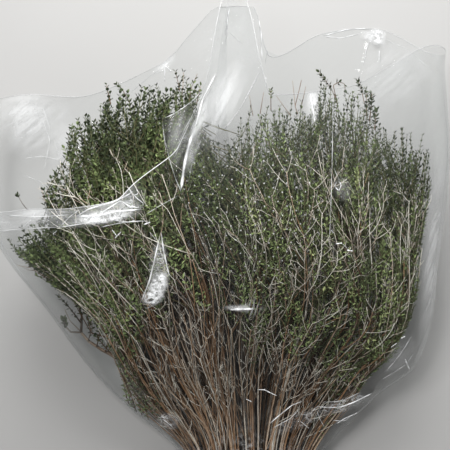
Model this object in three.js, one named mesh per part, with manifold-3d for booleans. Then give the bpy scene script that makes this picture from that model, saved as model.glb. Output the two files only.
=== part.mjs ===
// A bundle of cut thyme, lying on its side: woody stems gathered by one band at the neck, leafy
// sprays fanning out above them in two lobes, and one sheet of clear film wrapped round the whole.
// Millimetres. Stems run along +Y, from their cut ends to their tips. +X is across the fan and +Z is up.
// Everything is placed by one rule, the fan, which takes (across, depth, level):
//   across  -1 at the left edge of the fan, +1 at the right edge
//   depth   -1 at the underside, +1 at the top
//   level   distance along a stem from the neck, negative towards the cut ends
import * as THREE from "three";
import { mergeVertices } from "three/addons/utils/BufferGeometryUtils.js";
import Module from "manifold-3d";

const wasm = await Module();
wasm.setup();

// ---- driving dimensions -------------------------------------------------------------------------
const NECK_RADIUS = 110; // from the point where the stems would meet, to the neck
const NECK_BEND = 35; // how gently the stems turn outwards at the neck
const OPENING = 0.65; // with SPLAY, how fast the stems spread above the neck
const SPLAY = 0.35; // and how they spread again below it
// Edges of the fan, as [level, degrees from +Y].
const LEFT_EDGE = [[0, 44], [130, 47], [272, 43.5], [395, 41.2], [470, 36.2], [530, 31.5], [600, 29]];
const RIGHT_EDGE = [[0, 45], [150, 46], [195, 46.5], [240, 43.6], [319, 35.5], [389, 31], [450, 28],
  [546, 22.8], [600, 22]];
const NECK_DEPTH = 78; // thickness of the bundle at the neck
const HEAD_DEPTH = 235; // and where it is fullest
const FULL_LEVEL = 340; // level at which it is fullest
const MOUTH_FALL = { share: 0.45, from: 500, to: 620 }; // the film sinks beyond the tips
const SIDE_HEIGHT = 0.32; // height of the widest line, as a share of the thickness
const LOBE_GAP = { at: -0.15, width: 0.12, depth: 0.1 }; // valley between the two lobes
const NECK_LIFT = { height: 7, centre: -10, reach: 110 }; // the band keeps the neck off the surface

const CUT_PLANE = -105; // Y of the trimmed ends
const BAND_PLANE = -26; // Y of the middle of the band
const BAND = { width: 9, thickness: 2.2, clearance: 3.6 };
const HEM_PLANE = -46; // Y of the film's lower hem
const FILM = { thickness: 0.9, lap: 2.2, across: 44 };
// The film is regular up to the level of its body, in rows that crowd towards the neck. Above that it
// stretches to the rim.
const BODY = { level: 330, rows: 8, crowding: 1.4 };
const RIM_ROWS = 4;
// Where the sheet starts and ends on the upper side, as places across the fan.
const SHEET_START = 0.055;
const SHEET_END = -0.19;
// The film's upper rim, as [across, level]: under the lap, round the back, and over the top.
const RIM_INNER = [[-1, 440], [-0.97, 424], [-0.7, 380], [-0.54, 359], [-0.36, 343], [-0.156, 390],
  [0.005, 461], [0.055, 551]];
const RIM_BACK = [[-1, 540], [-0.53, 502], [-0.236, 517], [-0.09, 556], [0, 580], [0.16, 580], [0.25, 515],
  [0.49, 553], [0.74, 572], [1, 556]];
const RIM_OUTER = [[-0.19, 426], [-0.03, 447], [0.05, 560], [0.1, 565], [0.217, 440], [0.5, 460],
  [0.7, 500], [1, 556]];
const RIM_CORNER = 0.3; // how soon the rim drops from the back's corner to the upper side, in radians

// Stems stand in rows of cells: each lobe takes its columns across, and both have four rows in depth.
const LOBES = [
  { from: -0.93, to: -0.14, columns: 3, fork: 235 },
  { from: -0.12, to: 0.92, columns: 4, fork: 160 },
];
const ROWS = 4;
const ROW_EDGE = 0.95;
// Level of the tips, as [across, level].
const TIPS = [[-0.92, 392], [-0.72, 402], [-0.58, 454], [-0.45, 480], [-0.16, 484], [-0.08, 412],
  [0.12, 428], [0.26, 463], [0.45, 484], [0.6, 476], [0.7, 444], [0.92, 432]];

const STEM = { base: 2.7, top: 1.5 };
const BARE_TWIG = { base: 1.7, top: 0.9, prong: 24, from: 28, step: 5, reach: [0.9, 0.6, 0.3] };
const ELBOW = { rise: 12, out: 6.4 }; // a bare twig first bends clear of its stem
const AXIS_RADII = [1.5, 1.2, 0.85, 0];
const BRANCHLET = { radius: 0.9, count: 5, longest: 100, shortest: 58 };
const LEAF = { length: 7.2, width: 3.6, thickness: 1.3, angle: 48, widest: 0.42, root: 2.2 };
const CLUSTER = { lower: 0.58, upper: 0.93 }; // where leaves stand along a branchlet
const JOIN_GAP = 1; // between a stem and the spray that it carries
const CLEAR = 0.7; // least distance kept between two nodes
const OWN_CLEAR = 0.1; // and between a leaf and the rest of its own spray
const FILM_CLEAR = 6.5; // least distance kept between leaves and film

const COLOURS = {
  wood: { color: "#7d6650", roughness: 0.85, metalness: 0 },
  leaf: { color: "#56643a", roughness: 0.7, metalness: 0 },
  film: { color: "#e9edee", roughness: 0.12, metalness: 0, transparent: true, opacity: 0.25 },
  band: { color: "#b9a176", roughness: 0.6, metalness: 0 },
};

// ---- small helpers ------------------------------------------------------------------------------
const rad = THREE.MathUtils.degToRad;
const { clamp, lerp } = THREE.MathUtils;
const smooth = (t) => THREE.MathUtils.smoothstep(t, 0, 1);
const between = (value, from, to) => smooth((value - from) / (to - from));

// A repeatable number from 0 to 1 for a pair of indices.
function chance(a, b) {
  const x = Math.sin(a * 12.9898 + b * 78.233) * 43758.5453;
  return x - Math.floor(x);
}

// The height at x of a smooth curve through a list of [x, height], which does not overshoot them.
function curve(knots, x) {
  const last = knots.length - 1;
  if (x <= knots[0][0]) return knots[0][1];
  if (x >= knots[last][0]) return knots[last][1];
  const slope = (i) => (knots[i + 1][1] - knots[i][1]) / (knots[i + 1][0] - knots[i][0]);
  const tangent = (i) => {
    if (i === 0 || i === last) return 0;
    const [before, after] = [slope(i - 1), slope(i)];
    return before * after > 0 ? (2 * before * after) / (before + after) : 0;
  };
  const i = knots.findIndex((k, n) => x < knots[n + 1][0]);
  const width = knots[i + 1][0] - knots[i][0];
  const t = (x - knots[i][0]) / width;
  const rise = t * t * (3 - 2 * t);
  return lerp(knots[i][1], knots[i + 1][1], rise)
    + width * (t * (1 - t) ** 2 * tangent(i) - t * t * (1 - t) * tangent(i + 1));
}

// ---- the fan ------------------------------------------------------------------------------------
const WAIST_SHIFT = (NECK_BEND * SPLAY) / Math.sqrt(OPENING ** 2 - SPLAY ** 2);
const RADIUS_BASE = NECK_RADIUS - OPENING * Math.hypot(WAIST_SHIFT, NECK_BEND) + SPLAY * WAIST_SHIFT;

// Distance from the point where the stems would meet: least at the neck, growing both ways.
function fanRadius(level) {
  const x = level - WAIST_SHIFT;
  return RADIUS_BASE + OPENING * Math.hypot(x, NECK_BEND) + SPLAY * x;
}

function fanAngle(across, level) {
  return rad(lerp(-curve(LEFT_EDGE, level), curve(RIGHT_EDGE, level), (1 + across) / 2));
}

function fanDepth(across, level) {
  const growth = (1 - Math.cos(Math.PI * clamp(level / FULL_LEVEL, 0, 1))) / 2;
  const full = lerp(NECK_DEPTH, HEAD_DEPTH, growth) + 0.1 * Math.max(0, -level);
  const valley = LOBE_GAP.depth * growth * Math.exp(-(((across - LOBE_GAP.at) / LOBE_GAP.width) ** 2));
  const fall = MOUTH_FALL.share * between(level, MOUTH_FALL.from, MOUTH_FALL.to);
  return full * (1 - valley) * (1 - fall);
}

const neckLift = (level) =>
  NECK_LIFT.height * (1 - smooth(Math.abs(level - NECK_LIFT.centre) / NECK_LIFT.reach));

// Lowest and highest Z of the bundle: flat underneath, domed above, widest at a third of its height.
function fanHeights(across, level) {
  const depth = fanDepth(across, level);
  const side = SIDE_HEIGHT * depth;
  const round = Math.max(0, 1 - across * across);
  const under = side * (1 - Math.min(1, 1.25 * Math.sqrt(round)));
  const over = side + (depth - side) * round ** 0.4;
  return [neckLift(level) + under, neckLift(level) + over];
}

function fanPoint(across, depth, level) {
  const radius = fanRadius(level);
  const angle = fanAngle(across, level);
  const [under, over] = fanHeights(across, level);
  return new THREE.Vector3(
    radius * Math.sin(angle),
    level - radius * (1 - Math.cos(angle)),
    lerp(under, over, (1 + depth) / 2),
  );
}

// The level at which a stem crosses the plane Y = y.
function levelAtPlane(across, y) {
  let level = y;
  for (let i = 0; i < 30; i++) level = y + fanRadius(level) * (1 - Math.cos(fanAngle(across, level)));
  return level;
}

// Where a point lies in the fan, above the neck: the reverse of fanPoint.
function fanPlace(p) {
  let level = p.y;
  let angle = 0;
  for (let i = 0; i < 30; i++) {
    angle = Math.atan2(p.x, p.y - level + fanRadius(level));
    level = p.y + fanRadius(level) * (1 - Math.cos(angle));
  }
  const [low, high] = [fanAngle(-1, level), fanAngle(1, level)];
  const across = (2 * (angle - low)) / (high - low) - 1;
  return { across, level };
}

function clearOfFilm(p) {
  const { across, level } = fanPlace(p);
  if (Math.abs(across) > 0.985) return false;
  const [under, over] = fanHeights(clamp(across, -1, 1), level);
  return p.z > under + FILM_CLEAR && p.z < over - FILM_CLEAR;
}

// Whether the points and the middles between them stand clear of the film.
function pathInFilm(points) {
  return points.every((p, i) => !i || (clearOfFilm(p) && clearOfFilm(p.clone().lerp(points[i - 1], 0.5))));
}

// ---- solids -------------------------------------------------------------------------------------
function solidOf(geometry) {
  const bare = geometry.clone();
  bare.deleteAttribute("normal");
  bare.deleteAttribute("uv");
  const merged = mergeVertices(bare, 1e-4);
  const index = [...merged.index.array];
  const triVerts = [];
  for (let i = 0; i < index.length; i += 3) {
    const [a, b, c] = index.slice(i, i + 3);
    if (a !== b && b !== c && a !== c) triVerts.push(a, b, c);
  }
  const vertProperties = merged.attributes.position.array;
  return new wasm.Manifold(
    new wasm.Mesh({ numProp: 3, vertProperties, triVerts: new Uint32Array(triVerts) }),
  );
}

function geometryOf(solid) {
  const mesh = solid.getMesh();
  const geometry = new THREE.BufferGeometry();
  geometry.setAttribute("position", new THREE.BufferAttribute(Float32Array.from(mesh.vertProperties), 3));
  geometry.setIndex(new THREE.BufferAttribute(Uint32Array.from(mesh.triVerts), 1));
  geometry.computeVertexNormals();
  return geometry;
}

// Moves every vertex of a unit geometry to place(x, y, z).
function shaped(geometry, place) {
  const at = geometry.attributes.position;
  for (let i = 0; i < at.count; i++) {
    const p = place(at.getX(i), at.getY(i), at.getZ(i));
    at.setXYZ(i, p.x, p.y, p.z);
  }
  return geometry;
}

// A tapered twig through the points, as corners and faces, with a ring of corners at each point.
// A last radius of 0 gives a pointed end. Faces of one step follow each other, two to a side.
function twig(points, radii, sides) {
  const last = points.length - 1;
  const corners = [];
  const faces = [];
  let across = null;
  for (let i = 0; i <= last; i++) {
    const along = points[Math.min(i + 1, last)].clone().sub(points[Math.max(i - 1, 0)]).normalize();
    across ??= new THREE.Vector3(0, 0, 1).cross(along);
    across = across.clone().addScaledVector(along, -across.dot(along)).normalize();
    const count = i === last && !radii[i] ? 1 : sides;
    for (let k = 0; k < count; k++) {
      const out = across.clone().applyAxisAngle(along, (2 * Math.PI * k) / sides);
      corners.push(points[i].clone().addScaledVector(out, radii[i]));
    }
  }
  const pointed = !radii[last];
  for (let i = 0; i < last; i++) {
    for (let k = 0; k < sides; k++) {
      const [a, b] = [i * sides + k, i * sides + ((k + 1) % sides)];
      if (pointed && i === last - 1) faces.push([a, b, corners.length - 1]);
      else faces.push([a, b, a + sides], [a + sides, b, b + sides]);
    }
  }
  for (let k = 2; k < sides; k++) {
    faces.push([0, k, k - 1]);
    if (!pointed) faces.push([last * sides, last * sides + k - 1, last * sides + k]);
  }
  return { corners, faces };
}

function solidTwig({ corners, faces }) {
  return solidOf(new THREE.BufferGeometry().setFromPoints(corners).setIndex(faces.flat()));
}

// The middle of a face of a twig.
function faceMiddle({ corners, faces }, face) {
  return faces[face].reduce((sum, i) => sum.add(corners[i]), new THREE.Vector3()).divideScalar(3);
}

// Of some faces of a twig, the one that looks most nearly from a point towards another.
function faceTowards(shape, faces, from, to) {
  const look = to.clone().sub(from);
  const facing = (f) => faceMiddle(shape, f).sub(from).dot(look);
  return faces.reduce((best, f) => (facing(f) > facing(best) ? f : best));
}

// Draws one face of a twig out to a point, to make a prong.
function growProng(shape, face, tip) {
  const [a, b, c] = shape.faces[face];
  const p = shape.corners.push(tip) - 1;
  shape.faces[face] = [a, b, p];
  shape.faces.push([b, c, p], [c, a, p]);
}

// Draws one face of a twig out through the points, to make a side twig. Returns its last ring of faces.
function growTwig(shape, face, points, radii) {
  let from = faceMiddle(shape, face);
  let ring = shape.faces[face];
  // The first ring is turned to match all three corners of the face as well as it can.
  const start = points[0].clone().sub(from).normalize();
  const side = new THREE.Vector3();
  ring.forEach((corner, k) => {
    const arm = shape.corners[corner].clone().sub(from).projectOnPlane(start);
    side.add(arm.applyAxisAngle(start, (-2 * Math.PI * k) / 3));
  });
  const added = [];
  points.forEach((p, i) => {
    const arriving = p.clone().sub(from).normalize();
    side.addScaledVector(arriving, -side.dot(arriving)).normalize();
    const leaving = (points[i + 1] ?? p.clone().add(arriving)).clone().sub(p).normalize();
    const along = leaving.add(arriving).normalize();
    side.addScaledVector(along, -side.dot(along)).normalize();
    const next = [0, 1, 2].map((k) => {
      const out = side.clone().applyAxisAngle(along, (2 * Math.PI * k) / 3);
      return shape.corners.push(p.clone().addScaledVector(out, radii[i])) - 1;
    });
    for (let k = 0; k < 3; k++) {
      const [a, b, c, d] = [ring[k], ring[(k + 1) % 3], next[k], next[(k + 1) % 3]];
      added.push([a, b, c], [c, b, d]);
    }
    [ring, from] = [next, p];
  });
  shape.faces[face] = added[0];
  const first = shape.faces.length - 1;
  shape.faces.push(...added.slice(1), ring);
  return [0, 2, 4].map((k) => first + added.length - 6 + k);
}

// Grows a leaf from one face of a twig: a kite folded along its midrib, from root to tip.
// The face's lone corner, at one end of the step, carries the midrib; the other two carry the sides.
function growLeaf(shape, face, lone, { root, direction, across }) {
  const [a, b, c] = [0, 1, 2].map((k) => shape.faces[face][(lone + k) % 3]);
  const at = (i) => shape.corners[i];
  const through = direction.clone().cross(across);
  if (through.dot(at(b).clone().sub(at(a))) < 0) through.negate();
  const corner = (x, y, z) => shape.corners.push(root.clone().addScaledVector(across, x * LEAF.width)
    .addScaledVector(direction, y * LEAF.length).addScaledVector(through, z * LEAF.thickness)) - 1;
  const side = Math.sign(across.dot(at(b).clone().sub(at(c)))) || 1;
  const p = corner(0.5 * side, LEAF.widest, 0.5);
  const q = corner(-0.5 * side, LEAF.widest, 0.5);
  const tip = corner(0, 1, -0.5);
  shape.faces[face] = [a, b, p];
  shape.faces.push([b, c, q], [b, q, p], [c, a, q], [a, p, tip], [a, tip, q], [p, q, tip]);
}

// ---- clearance between nodes --------------------------------------------------------------------
const taken = []; // every twig and leaf so far, as { node, a, b, radius }

function gapBetween(a, b, c, d) {
  const [u, v, w] = [b.clone().sub(a), d.clone().sub(c), a.clone().sub(c)];
  const [uu, uv, vv, uw, vw] = [u.dot(u), u.dot(v), v.dot(v), u.dot(w), v.dot(w)];
  const flat = uu * vv - uv * uv;
  let s = flat > 1e-9 ? clamp((uv * vw - vv * uw) / flat, 0, 1) : 0;
  const t = clamp((uv * s + vw) / Math.max(vv, 1e-9), 0, 1);
  s = clamp((uv * t - uw) / Math.max(uu, 1e-9), 0, 1);
  return w.addScaledVector(u, s).addScaledVector(v, -t).length();
}

// Whether a piece stands clear of other nodes and, when own is given, of its own node by that much.
function isClear(node, a, b, radius, own = -Infinity) {
  return taken.every((o) => {
    const margin = o.node === node ? own : CLEAR;
    return margin === -Infinity || gapBetween(a, b, o.a, o.b) > radius + o.radius + margin;
  });
}

function take(node, points, radii) {
  for (let i = 1; i < points.length; i++) {
    taken.push({ node, a: points[i - 1], b: points[i], radius: Math.max(radii[i - 1], radii[i]) });
  }
}

// ---- the cells that the stems stand in ----------------------------------------------------------
function cellsOf(lobe, lobeIndex) {
  const step = (lobe.to - lobe.from) / lobe.columns;
  const rowStep = (2 * ROW_EDGE) / ROWS;
  const cells = [];
  for (let column = 0; column < lobe.columns; column++) {
    for (let row = 0; row < ROWS; row++) {
      const seed = 100 * lobeIndex + 10 * column + row;
      const stagger = (row % 2 ? 0.12 : -0.12) * step;
      const across = lobe.from + (column + 0.5) * step + stagger;
      const depth = -ROW_EDGE + (row + 0.5) * rowStep;
      const tip = curve(TIPS, across) - 16 * chance(seed, 1) - (row % 3 ? 0 : 12);
      const fork = lobe.fork + 60 * (chance(seed, 2) - 0.5) + 40 * Math.abs(across);
      cells.push({ seed, across, depth, step, rowStep, tip, fork });
    }
  }
  return cells;
}

// Millimetres for one unit across and one unit of depth, near a cell's middle line.
function cellScale(cell, level) {
  const at = (da, dd) => fanPoint(cell.across + da, cell.depth + dd, level);
  return {
    across: at(0.01, 0).distanceTo(at(-0.01, 0)) / 0.02,
    depth: at(0, 0.05).distanceTo(at(0, -0.05)) / 0.1,
  };
}

// A point beside the cell's middle line, by an offset in millimetres across and in depth.
function besideCell(cell, level, x, z) {
  const scale = cellScale(cell, level);
  const sway = 0.05 * cell.step * Math.sin(level / 47 + cell.seed);
  return fanPoint(cell.across + sway + x / scale.across, cell.depth + z / scale.depth, level);
}

// Half the room a cell has each way, less a margin.
function cellRoom(cell, level, margin) {
  const scale = cellScale(cell, level);
  const room = (size) => Math.max(2, size / 2 - margin);
  return { x: room(cell.step * scale.across), z: room(cell.rowStep * scale.depth) };
}

// A point part of the way along a path.
function pointAlong(points, share) {
  const place = clamp(share, 0, 0.999) * (points.length - 1);
  const i = Math.floor(place);
  return points[i].clone().lerp(points[i + 1], place - i);
}

// ---- woody stem: one main stem and the bare twigs that leave it ------------------------------------
function woodyStem(node, cell) {
  const bottom = levelAtPlane(cell.across, CUT_PLANE - 6 * chance(cell.seed, 3));
  const { from } = BARE_TWIG;
  const upper = [0, 0.35, 0.68, 1].map((t) => lerp(from + BARE_TWIG.step, cell.fork, t));
  const levels = [bottom, Math.max(-30, 0.5 * bottom), 0, from, ...upper];
  const points = levels.map((level) => besideCell(cell, level, 0, 0));
  const radii = levels.map((_, i) => lerp(STEM.base, STEM.top, i / (levels.length - 1)));
  take(node, points, radii);
  const [sides, step] = [4, 3];
  const shape = twig(points, radii, sides);
  const side = chance(cell.seed, 10) < 0.5 ? 0 : 1;
  const face = 2 * (sides * step + side);
  const stretch = points.slice(step, step + 2);
  growBareTwig(node, cell, shape, 0, stretch, face);
  growBareTwig(node, cell, shape, 1, stretch, face + sides);
  return solidTwig(shape);
}

// A bare twig leaves a short stretch of the main stem by one of its faces, just above the neck, and ends
// in a fork.
function growBareTwig(node, cell, shape, k, stretch, face) {
  const top = lerp(cell.fork, cell.tip, 0.35 + 0.4 * chance(cell.seed, 20 + k));
  const start = faceMiddle(shape, face);
  const along = stretch[1].clone().sub(stretch[0]).normalize();
  const out = start.clone().sub(stretch[0]).projectOnPlane(along);
  const sideways = Math.sign(out.x) * Math.hypot(out.x, out.y);
  const turn = Math.atan2(out.z, sideways) + 0.5 * (chance(cell.seed, 12 + k) - 0.5);
  const fork = top - BARE_TWIG.prong;
  const radii = [0.85, 0.7, 0.4, 0.2, 0.1].map((r) => lerp(BARE_TWIG.top, BARE_TWIG.base, r));
  for (const reach of BARE_TWIG.reach) {
    const place = (level, turned) => {
      const room = cellRoom(cell, level, 4);
      const away = reach * between(level, -40, 0.8 * top);
      const [x, z] = [room.x, room.z].map((size) => Math.max(ELBOW.out, away * size));
      return besideCell(cell, level, x * Math.cos(turned), z * Math.sin(turned));
    };
    const elbow = BARE_TWIG.from + BARE_TWIG.step + ELBOW.rise;
    const levels = [elbow, lerp(elbow, fork, 0.2), lerp(elbow, fork, 0.55), fork - 6, fork, top];
    const points = levels.map((level) => place(level, turn));
    const path = [start, ...points];
    const free = path.every((p, i) => !i || isClear(node, path[i - 1], p, BARE_TWIG.top));
    if (!free || !pathInFilm(path)) continue;
    take(node, path, [BARE_TWIG.base, ...radii, 0]);
    const [bend, end] = points.slice(4);
    const ends = growTwig(shape, face, points.slice(0, 5), radii);
    growProng(shape, shape.faces.length - 1, end);
    const tip = place(top + 4, turn + 0.8);
    if (!clearOfFilm(tip) || !isClear(node, bend, tip, BARE_TWIG.top)) return;
    take(node, [bend, tip], [BARE_TWIG.top, 0]);
    growProng(shape, faceTowards(shape, ends, bend, tip), tip);
    return;
  }
}

// ---- leafy spray: an axis with branchlets in crossed pairs, and leaves in clusters on each ----------
// Splits a path so that it has a short step for leaves, centred part of the way along.
function withLeafSteps(points, radii, shares) {
  const last = points.length - 1;
  const at = (share) => {
    const i = Math.min(Math.floor(share * last), last - 1);
    return {
      p: points[i].clone().lerp(points[i + 1], share * last - i),
      r: lerp(radii[i], radii[i + 1] || BRANCHLET.radius * 0.6, share * last - i),
    };
  };
  const entries = points.map((p, i) => ({ share: i / last, p, r: radii[i] }));
  const steps = shares.map((share) => {
    const after = Math.ceil(share * last);
    const half = LEAF.root / 2 / (last * points[after].distanceTo(points[after - 1]));
    return [share - half, share + half].map((t) => ({ share: t, ...at(t) }));
  });
  const all = [...entries, ...steps.flat()].sort((a, b) => a.share - b.share);
  return {
    points: all.map((entry) => entry.p),
    radii: all.map((entry) => entry.r),
    starts: steps.map((step) => all.indexOf(step[0])),
  };
}

// Leaves round one short step of a twig, each bent aside where it would not be clear.
function growCluster(node, shape, points, step) {
  const along = points[step + 1].clone().sub(points[step]).normalize();
  for (let k = 0; k < 3; k++) {
    const half = (k + step) % 2;
    const face = 6 * step + 2 * k + half;
    const corners = shape.faces[face].map((i) => shape.corners[i]);
    const root = corners.reduce((sum, c) => sum.add(c), new THREE.Vector3()).divideScalar(3);
    const normal = root.clone().sub(points[step]);
    normal.addScaledVector(along, -normal.dot(along)).normalize();
    for (const bend of [0, 30, -30]) {
      const out = normal.clone().applyAxisAngle(along, rad(bend));
      const direction = along.clone().multiplyScalar(Math.cos(rad(LEAF.angle)))
        .addScaledVector(out, Math.sin(rad(LEAF.angle)));
      const tip = root.clone().addScaledVector(direction, LEAF.length);
      const near = root.clone().lerp(tip, 0.3);
      if (!clearOfFilm(tip) || !isClear(node, near, tip, LEAF.width / 2, OWN_CLEAR)) continue;
      take(node, [near, tip], [LEAF.width / 2, LEAF.width / 2]);
      growLeaf(shape, face, half ? 1 : 2, { root, direction, across: along.clone().cross(out) });
      break;
    }
  }
}

// A twig with a cluster of leaves at each share of its length.
function leafyTwig(node, points, radii, shares) {
  const path = withLeafSteps(points, radii, shares);
  const shape = twig(path.points, path.radii, 3);
  for (const step of path.starts) growCluster(node, shape, path.points, step);
  return solidTwig(shape);
}

// The path of the k-th branchlet, drawn in towards the axis until it is clear.
function branchletPath(node, cell, axis, k) {
  const share = (k / (BRANCHLET.count - 1)) ** 0.9;
  const length = cell.tip - cell.fork;
  const start = cell.fork + lerp(10, length - 60, share);
  const reach = Math.min(lerp(BRANCHLET.longest, BRANCHLET.shortest, share), cell.tip - 6 - start);
  const crossed = Math.PI * (k % 2) + (Math.PI / 2) * (Math.floor(k / 2) % 2);
  const turn = crossed + 0.9 * (chance(cell.seed, 30 + k) - 0.2);
  const root = pointAlong(axis, (start - cell.fork) / length);
  for (const pull of [1, 0.8, 0.6]) {
    const place = (along, out) => {
      const room = cellRoom(cell, start + reach * along, 6);
      const [x, z] = [room.x * Math.cos(turn), room.z * Math.sin(turn)];
      return besideCell(cell, start + reach * along, out * pull * x, out * pull * z);
    };
    const points = [root, place(0.42, 0.66), place(1, 1)];
    const free = points.slice(1).every((p, n) => isClear(node, points[n], p, BRANCHLET.radius));
    if (free && pathInFilm(points)) return points;
  }
  return null;
}

function sprayAxis(cell) {
  const levels = [0, 0.3, 0.65, 1].map((t) => lerp(cell.fork, cell.tip, t));
  levels[0] += JOIN_GAP;
  return levels.map((level) => besideCell(cell, level, 0, 0));
}

function leafySpray(node, cell) {
  const axis = sprayAxis(cell);
  const pieces = [leafyTwig(node, axis, AXIS_RADII, [0.93])];
  for (let k = 0; k < BRANCHLET.count; k++) {
    const branch = branchletPath(node, cell, axis, k);
    if (!branch) continue;
    const thickness = [BRANCHLET.radius, BRANCHLET.radius, 0];
    pieces.push(leafyTwig(node, branch, thickness, [CLUSTER.lower, CLUSTER.upper]));
    take(node, branch, thickness);
  }
  return wasm.Manifold.union(pieces);
}

// ---- film: one sheet, from under its own lap, round the back, and over itself ------------------------
// turn is 0 at the left edge, PI at the right edge by way of the back, and beyond them on the upper side.
const START_TURN = -Math.acos(-SHEET_START);
const END_TURN = 2 * Math.PI - Math.acos(-SHEET_END);
const LAPPED_FROM = 2 * Math.PI + START_TURN; // the turn at which the sheet meets its own start

const isUpper = (turn) => turn < 0 || turn > Math.PI;
const filmBase = (turn, level) => fanPoint(-Math.cos(turn), isUpper(turn) ? 1 : -1, level);

function filmOutward(turn, level) {
  const [dt, dl] = [0.02, 0.5];
  const a = filmBase(turn + dt, level).sub(filmBase(turn - dt, level));
  const b = filmBase(turn, level + dl).sub(filmBase(turn, level - dl));
  return b.cross(a).normalize();
}

function filmRim(turn) {
  const knots = turn < 0 ? RIM_INNER : turn > Math.PI ? RIM_OUTER : RIM_BACK;
  const rim = curve(knots, -Math.cos(turn));
  return turn < 0 ? lerp(RIM_BACK[0][1], rim, smooth(-turn / RIM_CORNER)) : rim;
}

function filmPoint(turn, level) {
  const lap = FILM.lap * between(turn, LAPPED_FROM - 0.5, LAPPED_FROM - 0.05);
  return filmBase(turn, level).addScaledVector(filmOutward(turn, level), lap);
}

function filmLevel(turn, row) {
  if (row > BODY.rows) return lerp(BODY.level, filmRim(turn), (row - BODY.rows) / RIM_ROWS);
  const hem = levelAtPlane(-Math.cos(turn), HEM_PLANE);
  return lerp(hem, BODY.level, (row / BODY.rows) ** BODY.crowding);
}

function film() {
  const rows = BODY.rows + RIM_ROWS;
  const sheet = new THREE.BoxGeometry(FILM.across, rows, 1, FILM.across, rows, 1);
  return solidOf(shaped(sheet, (x, y, z) => {
    const turn = lerp(START_TURN, END_TURN, x / FILM.across + 0.5);
    const level = filmLevel(turn, y + rows / 2);
    const inward = z > 0 ? FILM.thickness : 0;
    return filmPoint(turn, level).addScaledVector(filmOutward(turn, level), -inward);
  }));
}

// ---- band: a flat ring round the gathered neck --------------------------------------------------------
function bandOutline(offset) {
  const outline = [];
  const sides = 40;
  for (let i = 0; i < sides; i++) {
    const turn = (2 * Math.PI * i) / sides;
    const level = levelAtPlane(-Math.cos(turn), BAND_PLANE);
    const out = filmOutward(turn, level).setY(0).normalize();
    const p = filmBase(turn, level).addScaledVector(out, offset);
    outline.push(new THREE.Vector2(p.x, p.z));
  }
  return outline;
}

function band() {
  const ring = new THREE.Shape(bandOutline(BAND.clearance + BAND.thickness));
  ring.holes.push(new THREE.Path(bandOutline(BAND.clearance)));
  const geometry = new THREE.ExtrudeGeometry(ring, { depth: BAND.width, bevelEnabled: false, steps: 1 });
  return solidOf(geometry.rotateX(Math.PI / 2).translate(0, BAND_PLANE + BAND.width / 2, 0));
}

// ---- assembly ---------------------------------------------------------------------------------------
function part(name, solid, look) {
  const mesh = new THREE.Mesh(geometryOf(solid), new THREE.MeshStandardMaterial(look));
  mesh.name = name;
  return mesh;
}

const bundle = new THREE.Group();
const cells = LOBES.flatMap((lobe, i) => cellsOf(lobe, i));
const numbered = (name, i) => `${name}_${String(i + 1).padStart(2, "0")}`;
cells.forEach((cell, i) => take(cells.length + i, sprayAxis(cell), AXIS_RADII));
const woody = cells.map((cell, i) => woodyStem(i, cell));
const sprays = cells.map((cell, i) => leafySpray(cells.length + i, cell));
woody.forEach((solid, i) => bundle.add(part(numbered("woody_stem", i), solid, COLOURS.wood)));
sprays.forEach((solid, i) => bundle.add(part(numbered("leafy_spray", i), solid, COLOURS.leaf)));
bundle.add(part("film_wrap", film(), COLOURS.film));
bundle.add(part("neck_band", band(), COLOURS.band));

// The origin is the middle of the underside.
const box = new THREE.Box3().setFromObject(bundle);
const middle = box.getCenter(new THREE.Vector3());
bundle.position.set(-middle.x, -middle.y, -box.min.z);

export default bundle;
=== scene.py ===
"""A bundle of cut thyme in clear film, lying on its side: the finished pieces and their materials.

Lengths are millimetres measured from the tie at the neck, with X across the fan, Y along the stems and
Z up from the surface. They become the frame's metres where a mesh is made. The fan places everything:
  across  -1 at the left edge, +1 at the right edge
  depth   -1 at the underside, +1 at the top
  level   distance along a stem from the neck, negative towards the cut ends
"""
import math

import bpy
import numpy as np
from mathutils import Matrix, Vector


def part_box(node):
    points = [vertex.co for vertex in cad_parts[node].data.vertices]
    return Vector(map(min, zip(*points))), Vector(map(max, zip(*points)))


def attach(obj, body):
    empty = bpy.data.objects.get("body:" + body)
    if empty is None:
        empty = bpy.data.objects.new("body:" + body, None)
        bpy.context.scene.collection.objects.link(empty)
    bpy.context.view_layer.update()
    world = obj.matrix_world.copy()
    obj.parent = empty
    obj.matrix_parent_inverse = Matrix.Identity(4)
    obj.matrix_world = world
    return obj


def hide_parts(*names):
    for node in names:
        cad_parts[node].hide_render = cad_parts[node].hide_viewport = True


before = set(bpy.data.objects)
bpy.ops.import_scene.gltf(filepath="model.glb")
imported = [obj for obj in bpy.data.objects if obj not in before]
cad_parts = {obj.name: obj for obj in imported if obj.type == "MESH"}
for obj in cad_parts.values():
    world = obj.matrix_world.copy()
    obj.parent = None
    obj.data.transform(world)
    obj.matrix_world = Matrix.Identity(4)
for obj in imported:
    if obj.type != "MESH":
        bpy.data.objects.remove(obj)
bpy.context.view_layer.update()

# ---- the fan's dimensions ----
NECK_RADIUS = 110
NECK_BEND = 35
OPENING = 0.65
SPLAY = 0.35
LEFT_EDGE = [(0, 44), (130, 47), (272, 43.5), (395, 41.2), (470, 36.2), (530, 31.5), (600, 29)]
RIGHT_EDGE = [
    (0, 45), (150, 46), (195, 46.5), (240, 43.6), (319, 35.5), (389, 31), (450, 28), (546, 22.8), (600, 22)
]
NECK_DEPTH = 78
HEAD_DEPTH = 235
FULL_LEVEL = 340
MOUTH_FALL = {"share": 0.45, "from": 500, "to": 620}
SIDE_HEIGHT = 0.32
LOBE_GAP = {"at": -0.15, "width": 0.12, "depth": 0.1}
NECK_LIFT = {"height": 7, "centre": -10, "reach": 110}
CUT_PLANE = -105
BAND_PLANE = -26
BAND = {"thickness": 2.2, "clearance": 3.6}
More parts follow.
